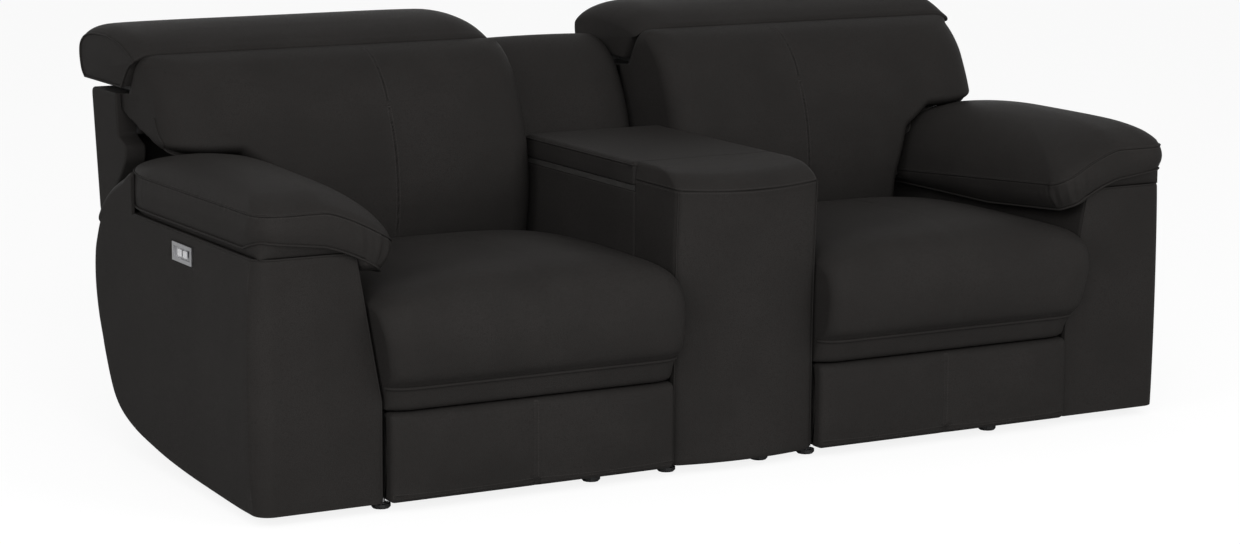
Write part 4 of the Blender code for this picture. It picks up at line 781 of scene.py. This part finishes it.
def make_seat(side, label):
    """Side views carried across the seat. The crown falls with the third power of the way to an end,
    and each end draws in as a quarter circle; the piping line runs along the front."""
    reach = 0.050
    x = side_stations(SEAT_LOW, SEAT_HIGH, reach, 60, 24)
    place = (x - SEAT_MIDDLE) / ((SEAT_HIGH - SEAT_LOW) / 2)
    near = grows(np.minimum(x - SEAT_LOW, SEAT_HIGH - x), 0, reach)
    shrink = 0.030 * drawn_in(near)
    crown = SEAT_CROWN * (1 - np.abs(place) ** 3.0)
    upper = smooth_through(SEAT_PROFILE, 96)
    y = back(upper[:, 0] * SEAT_LENGTH - 0.075)[None] + 0 * x[:, None]
    z = SEAT_SEAM_Z + upper[:, 1][None] * (SEAT_EDGE_Z - SEAT_SEAM_Z) + upper[:, 2][None] * crown[:, None]
    middle_y, middle_z = back(SEAT_LENGTH / 2 - 0.075), 0.324
    y = y + shrink[:, None] * (middle_y - y) / (SEAT_LENGTH / 2)
    z = z - 0.6 * shrink[:, None] * np.maximum(z - middle_z, 0) / 0.078
    waist = 0.0025 * bell(x, SEAT_MIDDLE, 0.012)
    front = falls(y, back(0.10), 0.17)
    y = y + waist[:, None] * front * 0.6
    z = z - waist[:, None] * (1 - front) * 0.6
    band = rounded_path([(0.030, DECK_Z), (0.030, 0.1890), (-0.020, 0.1890), (-0.038, SEAT_SEAM_Z)], 0.014, 26)
    band_y = back(band[:, 0])[None] + shrink[:, None] * (band[:, 0] < 0.0)[None]
    band_z = np.broadcast_to(band[:, 1], band_y.shape)
    under = np.linspace(0, 1, 24)[1:-1]
    under_y = y[:, -1:] + (back(0.030) - y[:, -1:]) * under[None]
    under_z = np.full(under_y.shape, DECK_Z)
    y = np.concatenate([band_y, y[:, 1:], under_y], axis=1)
    z = np.concatenate([band_z, z[:, 1:], under_z], axis=1)
    outer = grows(place, 0.5, 0.5)[:, None] ** 2
    widen = (arm_inner_x(z) - ARM_INNER) * falls(z, 0.430, 0.025) * outer
    rings = places(x[:, None] + widen, y, z)
    piping = rings[:, band_y.shape[1] - 1]
    skins = [closed_ends(rings, (10, 10), (0.002, 0.002)), rope(piping, 0.0030, (0, -0.8, -0.5), 0.35)]
    centre = rings[np.abs(x - SEAT_MIDDLE).argmin(), band_y.shape[1]:-50]
    centre = centre[centre[:, 1] > back(0.20)]

    def free(p):
        ends = grows(p[:, 0] - SEAT_LOW, 0.006, 0.05) * falls(p[:, 0], SEAT_HIGH + 0.02, 0.05)
        return ends * grows(p[:, 2] - SEAT_SEAM_Z, 0.004, 0.02) * falls(p[:, 1], back(0.45), 0.06)

    build(f"{label}_seat_cover", skins, side, f"{label}_seat_unit", [f"{label}_seat_cushion"], seams=[centre],
          shift=swell("seat", skins[0], [piping], free, 0.008))


# Footrests

PANEL_LOW, PANEL_HIGH, PANEL_BOTTOM_Z, PANEL_TOP_Z = 0.1625, 0.7495, 0.021, 0.1868


def make_footrest(side, label):
    """A padded panel: a round-cornered outline carried across, its face drawn in at the middle seam."""
    outline = rounded_outline([(back(-0.020), PANEL_BOTTOM_Z), (back(0.0157), PANEL_BOTTOM_Z),
                               (back(0.0157), PANEL_TOP_Z), (back(-0.020), PANEL_TOP_Z)],
                              (0.014, 0.004, 0.004, 0.015), 0.004)
    rings = box_rings(outline, PANEL_LOW, PANEL_HIGH, 0.010, (6, 6), 100)
    x, y, z = rings[..., 0], rings[..., 1], rings[..., 2]
    face = falls(y, back(-0.004), 0.010)
    half = (PANEL_HIGH - PANEL_LOW) / 4
    panel = np.abs(np.abs(x - SEAT_MIDDLE) - half) / half
    full = (1 - np.clip(panel, 0, 1) ** 3) * (1 - grows(np.abs(z - 0.104), 0, 0.083) ** 2.2)
    rings[..., 1] = y - face * 0.0105 * full + face * 0.0015 * bell(x, SEAT_MIDDLE, 0.006)
    seam = places(SEAT_MIDDLE, back(-0.0185), np.linspace(0.026, 0.182, 80))
    foot = places(np.linspace(0.168, 0.744, 200), back(-0.0205), 0.034)

    def free(p):
        ends = grows(p[:, 0], 0.170, 0.02) * falls(p[:, 0], 0.742, 0.02)
        return ends * falls(p[:, 1], back(-0.010), 0.006)

    build(f"{label}_footrest_cover", [rings], side, f"{label}_footrest", [f"{label}_footrest_pad"],
          seams=[seam, foot], shift=swell("panel", rings, [seam, foot], free, 0.004, 0.006))


# Backs

BACK_LOW, BACK_WING = 0.168, 0.936
BACK_BOTTOM_Z, BACK_SEAM_Z = 0.327, 0.768
# Edge of the back pad beside and above the pillow, from its foot to its outer corner: x, height
BACK_INSIDE = ((0.712, BACK_BOTTOM_Z), (0.713, 0.450), (0.740, 0.545), (0.795, 0.583), (BACK_WING, 0.5875))
# Front of the back pad from its foot to the head seam: share of the height, share of the way back
BACK_FRONT = ((0.0, 0.24), (0.04, 0.15), (0.12, 0.08), (0.24, 0.025), (0.38, 0.0), (0.53, 0.04), (0.61, 0.09),
              (0.648, 0.12), (0.70, 0.17), (0.77, 0.25), (0.85, 0.36), (0.92, 0.52), (0.965, 0.68),
              (0.99, 0.84), (1.0, 0.97))


def back_rear_depth(z):
    """The rear face of the backs, which leans rearwards with height."""
    return 0.85 + 0.08 * (z - 0.13) / 0.555


def pad_front(z):
    """Depth of the back pad's front, from its profile."""
    foot_z, curve = 0.325, smooth_through(BACK_FRONT, 200)
    return 0.520 + 0.180 * np.interp((z - foot_z) / (BACK_SEAM_Z - foot_z), curve[:, 0], curve[:, 1])


def pad_rear(z):
    """Depth of the back pad's rear: the frame's front, and above it the slope that meets the headrest."""
    slope_z = 0.688
    slope = 0.750 - 0.050 * (z - slope_z) / (BACK_SEAM_Z - slope_z)
    rear = back_rear_depth(z) - 0.1303
    return np.where(z > slope_z, np.minimum(rear, slope) + 0.002, rear)


def distance_to(x, z, start, end):
    """How far each place is from the line between two places."""
    along = np.array(end) - np.array(start)
    share = np.clip(((x - start[0]) * along[0] + (z - start[1]) * along[1]) / (along @ along), 0, 1)
    return np.hypot(x - start[0] - share * along[0], z - start[1] - share * along[1])


def pad_depth(x, z):
    """The back pad's face: its profile, falling away near its three free edges as quarter ellipses."""
    inside = np.min([distance_to(x, z, *ends) for ends in zip(BACK_INSIDE[:-1], BACK_INSIDE[1:])], axis=0)
    low = distance_to(x, z, (BACK_LOW, BACK_BOTTOM_Z), (BACK_LOW, 0.80))
    high = distance_to(x, z, BACK_INSIDE[-1], (BACK_WING, 0.80))
    near = sum(np.clip(1 - far / reach, 0, 1) ** 2
               for far, reach in ((inside, 0.026), (low, 0.060), (high, 0.100)))
    front = pad_front(z)
    wing = grows(x, 0.70, 0.12) * grows(z, 0.56, 0.05)
    room = np.clip(pad_rear(z) - front - 0.004, 0.0, 0.050 + 0.022 * wing)
    return front + room * (1 - np.sqrt(np.clip(1 - near, 0, 1)))


def make_back(side, label):
    """A panel with an L-shaped outline: loops that grow evenly from its middle, then follow the outline
    at a falling distance. The boxing runs from there back to the frame, and rises under the wing."""
    corners = [(BACK_LOW, BACK_BOTTOM_Z), *BACK_INSIDE, (BACK_WING, BACK_SEAM_Z), (BACK_LOW, BACK_SEAM_Z)]
    outline = rounded_outline(corners, (0.03, 0.03, 0.040, 0.028, 0.028, 0.038, 0.026, 0.022), 0.005)
    outline = evenly(outline, len(outline), closed=True)
    for _ in range(8):
        outline = (np.roll(outline, 1, axis=0) + 2 * outline + np.roll(outline, -1, axis=0)) / 4
    normal = outward(outline)
    for _ in range(6):
        normal = (np.roll(normal, 1, axis=0) + normal + np.roll(normal, -1, axis=0)) / 3
    normal /= np.linalg.norm(normal, axis=1, keepdims=True)
    border = 0.028
    offsets = border * (1 - np.cos(quarter_turn(12)[1:]))
    near = outline[None] - normal[None] * offsets[:, None, None]
    middle = np.array([0.45, 0.665])
    inside = middle + (near[-1][None] - middle) * np.linspace(1, 0, 44)[1:, None, None]
    face = np.concatenate([outline[None], near, inside])[::-1]
    x, z = face[..., 0], face[..., 1]
    skin = places(x, back(pad_depth(x, z)), z)
    edge = skin[-1]
    steps = np.linspace(0, 1, 9)[1:][:, None]
    box_y = edge[None, :, 1] * (1 - steps) + back(pad_rear(edge[:, 2]))[None] * steps
    flare = 0.005 * grows(edge[:, 0], 0.90, 0.03)
    wing = grows(edge[:, 0], 0.83, 0.07)
    slope = BACK_INSIDE[-1][1] + 0.42 * np.maximum(box_y - edge[None, :, 1], 0)
    box_z = edge[None, :, 2] + wing[None] * np.maximum(slope - edge[None, :, 2], 0)
    boxing = places(edge[None, :, 0] + flare[None] * steps**0.5, box_y, box_z)
    brim = np.stack([edge[:, 0], box_z[-1]], axis=1)
    flat = middle + (brim[None] - middle) * np.linspace(1, 0, 12)[1:, None, None]
    rear = places(flat[..., 0], back(pad_rear(flat[..., 1])), flat[..., 1])
    away = places(normal[:, 0], -0.5, normal[:, 1])
    order = stretch_where((edge[:, 2] < 0.655) & (edge[:, 0] > 0.70))
    height = np.linspace(0.36, BACK_SEAM_Z - 0.004, 200)
    seam_x = SEAT_MIDDLE + 0.02
    line = places(seam_x, back(pad_depth(seam_x, height)), height)
    rings = np.concatenate([skin, boxing, rear])

    def free(p):
        edges = zip(corners, corners[1:] + corners[:1])
        far = np.min([distance_to(p[:, 0], p[:, 2], *ends) for ends in edges], axis=0)
        return grows(far, 0.006, 0.04) * falls(p[:, 1], back(0.66), 0.03)

    build(f"{label}_back_cover", [rings, rope(edge[order], 0.0020, away[order], 0.5)], side, f"{label}_back",
          [f"{label}_back_cushion"], seams=[line], shift=swell("back", rings, [line], free, 0.008))


# Headrests

# Side view: share of the way back, share of the height
HEAD_PROFILE = ((0.045, 0.0), (-0.095, 0.36), (-0.178, 0.60), (-0.10, 0.74), (0.06, 0.885), (0.24, 0.965),
                (0.45, 1.0), (0.68, 0.975), (0.86, 0.87), (0.965, 0.68), (1.0, 0.42), (0.965, 0.14), (0.90, 0.0))
HEAD_OUTER = 0.949


def make_headrest(side, label):
    """Side views carried across, drawn in as quarter ellipses: short at the outer end, long at the inner.
    It is attached to no body, with its transform baked in."""
    bottom, crown = 0.7025, 0.8125
    run = 0.255
    top = smooth_through(HEAD_PROFILE, 130)
    base = np.linspace(0, 1, 30)[1:-1]
    x = side_stations(BACK_LOW, HEAD_OUTER, 0.03, 70)
    outer = falls(x, HEAD_OUTER, 0.040)
    inner = grows(x, BACK_LOW, 0.085)
    inset = 0.020 * drawn_in(outer) + 0.042 * drawn_in(inner)
    y = back(0.750 + top[:, 0] * run)[None] + 0 * x[:, None]
    z = (bottom + top[:, 1] * (crown - bottom))[None] + 0 * x[:, None]
    middle_y, middle_z = back(0.8775), (bottom + crown) / 2
    y = y + 0.5 * inset[:, None] * (middle_y - y) / (run / 2)
    z = z - inset[:, None] * np.maximum(z - middle_z, 0) / ((crown - bottom) / 2)
    ends = np.clip(1 - (x - BACK_LOW) / 0.04, 0, 1) ** 2 + np.clip(1 - (HEAD_OUTER - x) / 0.04, 0, 1) ** 2
    lip = bell(top[:, 1], 0.66, 0.22) * (top[:, 0] < 0.3)
    y = y - 0.012 * ends[:, None] * lip[None]
    z = z - 0.010 * ends[:, None] * lip[None]
    flat_y = y[:, -1:] + (y[:, :1] - y[:, -1:]) * base[None]
    flat_z = np.full(flat_y.shape, bottom)
    y = np.concatenate([y, flat_y], axis=1)
    z = np.concatenate([z, flat_z], axis=1)
    rings = places(x[:, None], y, z)
    end = rings[-1]
    away = places(0.6, *outward(end[:, 1:]).T)
    skins = [closed_ends(rings, (8, 10), (0.004, 0.016)), rope(end, 0.0022, away, 0.5, closed=True)]

    def free(p):
        ends = grows(p[:, 0], BACK_LOW, 0.06) * falls(p[:, 0], HEAD_OUTER - 0.01, 0.03)
        return ends * grows(p[:, 2], 0.780, 0.015)

    seam_below, seam_above = (side * 0.45, 0.242, 0.765), (side * 0.45, 0.264, 0.765)
    build(f"{label}_headrest_cover", skins, side, f"{label}_headrest", [f"{label}_headrest_cushion"],
          shift=swell("headrest", skins[0], [], free, 0.004),
          bend=(f"{label}_back", f"{label}_headrest", seam_below, seam_above))


def make_back_shell(side, label):
    """Leather over the back's frame: a wide slab behind the wings, a narrow one below, and a cheek that
    closes the wing's side above the arm."""
    grow = 0.0016
    high, low, waist = 0.685 + grow, 0.44 - grow, 0.605 - grow

    def rear(z):
        return back(back_rear_depth(z) + grow)

    def front(z, thick=0.13):
        return rear(z) - thick - 2 * grow

    foot = 0.13 - grow
    wide = rounded_outline([(rear(low), low), (rear(high), high), (front(high), high), (front(waist), waist),
                            (front(waist, 0.058), waist), (front(low, 0.058), low)],
                           (0.012, 0.016, 0.003, 0.004, 0.004, 0.006), 0.006)
    narrow = rounded_outline([(rear(foot) - 0.0006, foot), (rear(high) - 0.0006, high - 0.0006),
                              (front(high), high - 0.0006), (front(foot), foot)],
                             (0.008, 0.010, 0.003, 0.006), 0.006)
    cheek = rounded_outline([(rear(low), low), (rear(high), high), (front(high), high), (back(0.7900), 0.604),
                             (back(0.748), 0.5870), (back(0.750), 0.560), (back(0.786), 0.518),
                             (back(0.828), 0.482), (back(0.844), low)],
                            (0.012, 0.016, 0.003, 0.003, 0.008, 0.010, 0.008, 0.008, 0.006), 0.005)
    upper = [box_rings(wide, BACK_LOW - grow, 0.910, 0.006), box_rings(cheek, 0.9085, 0.950 + grow, 0.004)]
    build(f"{label}_back_upper_shell", upper, side, f"{label}_back")
    lower = [box_rings(narrow, 0.1695 - grow, 0.745 + grow, 0.006)]
    build(f"{label}_back_lower_shell", lower, side, f"{label}_back")


# Console

CONSOLE_HALF, CONSOLE_FOOT_Z, CONSOLE_SEAM_Z = 0.156, 0.0205, 0.548


def make_console_front():
    """Level loops bowed forwards as a parabola; above the seam they roll back and draw in."""
    rise = smooth_through(((0.0, 0.0), (0.30, 0.06), (0.60, 0.16), (0.85, 0.30), (1.0, 0.52)), 22)
    levels = np.concatenate([[CONSOLE_FOOT_Z], np.linspace(0.024, 0.544, 70), CONSOLE_SEAM_Z + rise[:, 0] * 0.034])
    roll = np.concatenate([np.zeros(71), rise[:, 1]])
    foot = np.where(levels < 0.022, 0.003, 0.0)
    half = CONSOLE_HALF - (0.016 * roll + foot)
    rear = back(0.150)
    front = back(roll * 0.150) + foot
    flat = plan_loop(-half, half, front, rear, (0.013, 0.013, 0.004, 0.004), 10)
    nearness = (rear - flat[..., 1]) / (rear - front)[:, None]
    bow = 1 - (flat[..., 0] / half[:, None]) ** 2
    high = grows(levels, 0, CONSOLE_SEAM_Z)[:, None]
    flat[..., 1] -= (0.020 * bow + 0.013 * high**3) * nearness
    rings = lifted(flat, levels[:, None])
    rings[..., 2] -= 0.006 * bow * nearness * high**8
    seam = rings[np.abs(levels - CONSOLE_SEAM_Z).argmin()]
    upright = np.linspace(0.026, 0.545, 160)
    skins = [closed_ends(rings, (8, 10))]
    for s in (-1, 1):
        path = places(s * (CONSOLE_HALF - 0.0036), back(0.0030) - 0.013 * (upright / CONSOLE_SEAM_Z) ** 3, upright)
        skins.append(rope(path, 0.0016, (s * 0.7, -0.7, 0.0), 0.5))
    build("console_front_cover", skins, 1, "sofa_frame", ["console_front"],
          seams=[seam[stretch_where(seam[:, 1] < rear - 0.002)]])


def make_console_box():
    """Up the outside, over the rim, down into the store and across its floor."""
    rim, turn = 0.003, quarter_turn(5)
    outside = np.concatenate([[CONSOLE_FOOT_Z], np.linspace(0.026, 0.519, 40), 0.525 - rim * (1 - np.sin(turn))])
    inset = np.concatenate([[rim], np.zeros(40), rim * (1 - np.cos(turn))])
    outer = plan_loop(-CONSOLE_HALF + inset, CONSOLE_HALF - inset, back(0.1505) + inset, back(0.690) - inset,
                      (0.006,) * 4, 8)
    inside = np.concatenate([0.525 - rim * (1 - np.cos(turn)), np.linspace(0.518, 0.3012, 30)])
    outset = np.concatenate([rim * (1 - np.sin(turn)), np.zeros(30)])
    store = plan_loop(-0.1314 - outset, 0.1314 + outset, back(0.1749) - outset, back(0.5694) + outset,
                      (0.010,) * 4, 8)
    rings = np.concatenate([lifted(outer, outside[:, None]), lifted(store, inside[:, None])])
    made = build("console_box_cover", [closed_ends(rings, (5, 5))], 1, "sofa_frame", ["console_box"])
    made.data.materials.append(FINISHES["lining"])
    centre = read_out(made.data.polygons, "center")
    inner = ((np.abs(centre[:, 0]) < 0.1335) & (centre[:, 1] > back(0.1725)) & (centre[:, 1] < back(0.5720))
             & (centre[:, 2] > 0.30))
    made.data.polygons.foreach_set("material_index", inner.astype(np.int32))


def make_lid():
    """The lid's pad: a loop up its boxing, over a small edge roll, and across a slightly crowned top."""
    edge, top, turn = 0.010, 0.582, quarter_turn(8)
    levels = np.concatenate([[0.5362], np.linspace(0.538, top - edge, 14)[:-1], top - edge * (1 - np.sin(turn))])
    inset = np.concatenate([[0.0015], np.zeros(13), edge * (1 - np.cos(turn))])
    half = CONSOLE_HALF - 0.0006 - inset + 0.0014 * np.sin(np.pi * grows(levels, 0.536, 0.038))
    loops = plan_loop(-half, half, back(0.1520) + inset, back(0.600) - inset, (0.008, 0.008, 0.006, 0.006), 8)
    rings = lifted(loops, levels[:, None])
    seam = rings[15]
    away = lifted(outward(seam[:, :2]), 0.6)
    skins = [closed_ends(rings, (5, 14), (0.0, 0.002)), rope(seam, 0.0018, away, 0.5, closed=True)]
    build("console_lid_cover", skins, 1, "console_lid", ["console_lid_pad"], seams=[looped(seam)])


def make_console_back():
    """The fixed back behind the console: an upright covered frame, and a pad over its front and top."""
    top = 0.700
    outline = rounded_outline([(back(0.6906), CONSOLE_FOOT_Z), (back(0.85), CONSOLE_FOOT_Z), (back(0.85), 0.13),
                               (back(0.932), top), (back(0.8035), top), (back(0.7480), 0.5255),
                               (back(0.6906), 0.507)],
                              (0.006, 0.010, 0.010, 0.006, 0.006, 0.003, 0.003), 0.006)
    build("console_back_cover", [box_rings(outline, -CONSOLE_HALF, CONSOLE_HALF, 0.006)], 1, "sofa_frame",
          ["console_back_frame"])
    shares = smooth_through(((0.0, 0.0), (0.01, 0.12), (0.07, 0.33), (0.17, 0.56), (0.31, 0.78), (0.50, 0.93),
                             (0.72, 1.0), (0.90, 0.96), (0.985, 0.88)), 90)
    bottom = 0.5262
    run = back_rear_depth(0.745) - 0.700
    x = side_stations(-CONSOLE_HALF, CONSOLE_HALF, 0.030, 40)
    near = falls(np.abs(x), CONSOLE_HALF, 0.030)
    inset = 0.020 * drawn_in(near)
    y = back(0.700 + shares[:, 0] * run)[None] + inset[:, None] * (1 - shares[:, 0])[None]
    z = bottom + shares[:, 1][None] * (0.745 - bottom - inset[:, None] / 2)
    z = z + 0.003 * (1 - (x[:, None] / CONSOLE_HALF) ** 2) * shares[:, 1][None]
    hidden = rounded_path([(back(0.931), 0.712), (back(0.931), 0.7008), (back(0.8020), 0.7008),
                           (back(0.7465), bottom)], 0.002, 30)
    y = np.concatenate([y, np.broadcast_to(hidden[:, 0], (len(x), 30))], axis=1)
    z = np.concatenate([z, np.broadcast_to(hidden[:, 1], (len(x), 30))], axis=1)
    build("console_back_pad_cover", [closed_ends(places(x[:, None], y, z), (5, 5))], 1, "sofa_frame",
          ["console_back_pad"])


for turned, name in ((1, "right"), (-1, "left")):
    for make in (make_arm, make_pillow, make_seat, make_footrest, make_back, make_headrest, make_back_shell):
        make(turned, name)
make_console_front()
make_console_box()
make_lid()
make_console_back()

# Finishes of the CAD nodes that stay

slots = {row["node"]: row["material_slot"] for row in frame["record"]["subparts"]}
for name, node in frame["nodes"].items():
    kind = "foot" if "foot_" in name and "footrest" not in name else slots.get(name, "steel")
    if kind == "leather":  # what stays of these lies under the covers
        kind = "steel"
    if kind == "board" and "seat_frame" not in name:
        kind = "dark_board"
    for index in range(len(node.material_slots)):
        node.material_slots[index].material = FINISHES[kind]

# Camera, light and floor

PHOTO_WIDTH, FOCAL_PIXELS, SENSOR_WIDTH = 1240, 3224.917, 36.0


def make_camera():
    """The fitted camera: right, up and backwards axes from its yaw, pitch and roll."""
    yaw, pitch, roll = (math.radians(a) for a in (29.427, 9.703, 0.318))
    ahead = Vector((math.sin(yaw) * math.cos(pitch), math.cos(yaw) * math.cos(pitch), -math.sin(pitch)))
    right = Vector((math.cos(yaw), -math.sin(yaw), 0.0))
    up = right.cross(ahead)
    turned_right = right * math.cos(roll) + up * math.sin(roll)
    turned_up = up * math.cos(roll) - right * math.sin(roll)
    data = bpy.data.cameras.new("photo_camera")
    data.sensor_width = SENSOR_WIDTH
    data.lens = FOCAL_PIXELS / PHOTO_WIDTH * SENSOR_WIDTH
    data.shift_y = -26.43 / PHOTO_WIDTH
    data.clip_end = 100.0
    made = placed("photo_camera", data)
    axes = Matrix((turned_right, turned_up, -ahead)).transposed().to_4x4()
    axes.translation = Vector((-3.158, -5.581, 1.457))
    made.matrix_world = axes
    bpy.context.scene.camera = made


def make_light(name, place, aim, size, power):
    data = bpy.data.lights.new(name, "AREA")
    data.shape = "RECTANGLE"
    data.size, data.size_y = size
    data.energy = power
    made = placed(name, data)
    made.location = place
    made.rotation_euler = (Vector(aim) - Vector(place)).to_track_quat("-Z", "Y").to_euler()
    made.visible_camera = False


def mixed_surface(tree, kind, share, first, second):
    """Shows first where share is 0 and second where it is 1."""
    both = share.node("ShaderNodeMixShader", {}, {0: share, 1: first, 2: second}, "Shader")
    fill(tree.nodes.new(kind).inputs, {"Surface": both})


def make_floor():
    """A pale floor that shows white to the camera where no shadow falls on it."""
    far, height = 14, -0.0004
    mesh = bpy.data.meshes.new("floor")
    corners = [(-far, -far, height), (far, -far, height), (far, far, height), (-far, far, height)]
    mesh.from_pydata(corners, [], [(0, 1, 2, 3)])
    made = placed("floor", mesh)
    paint = bpy.data.materials.new("floor_paint")
    paint.use_nodes = True
    tree = paint.node_tree
    tree.nodes.clear()
    seen = Value(tree, tree.nodes.new("ShaderNodeLightPath").outputs["Is Camera Ray"])
    matte = seen.node("ShaderNodeBsdfDiffuse", {}, {"Color": colour(0.80)}, "BSDF")
    glow = seen.node("ShaderNodeEmission", {}, {"Color": colour(1.0), "Strength": 1.14}, "Emission")
    mixed_surface(tree, "ShaderNodeOutputMaterial", seen * 0.75, matte, glow)
    mesh.materials.append(paint)


def make_world():
    """Plain grey light all round; the camera, gloss and glass see white."""
    world = bpy.data.worlds.new("studio")
    world.use_nodes = True
    bpy.context.scene.world = world
    tree = world.node_tree
    tree.nodes.clear()
    path = tree.nodes.new("ShaderNodeLightPath")
    seen, gloss, clear = (Value(tree, path.outputs[f"Is {kind} Ray"])
                          for kind in ("Camera", "Glossy", "Transmission"))
    white = seen.math("MAXIMUM", seen, gloss.math("MAXIMUM", gloss, clear))
    shade, plain = (white.node("ShaderNodeBackground", {}, {"Color": colour(1.0), "Strength": power}, "Background")
                    for power in (0.44, 1.0))
    mixed_surface(tree, "ShaderNodeOutputWorld", white, shade, plain)


make_camera()
make_world()
make_floor()
make_light("key", (-2.2, -5.2, 2.6), (0.0, 0.0, 0.4), (4.2, 3.2), 172.0)
make_light("fill", (2.4, -4.6, 2.6), (0.0, 0.0, 0.5), (3.2, 2.4), 80.0)
make_light("side", (-4.4, -2.2, 2.4), (0.2, -0.1, 0.45), (2.4, 2.0), 62.0)

bpy.context.scene.view_settings.view_transform = "Standard"
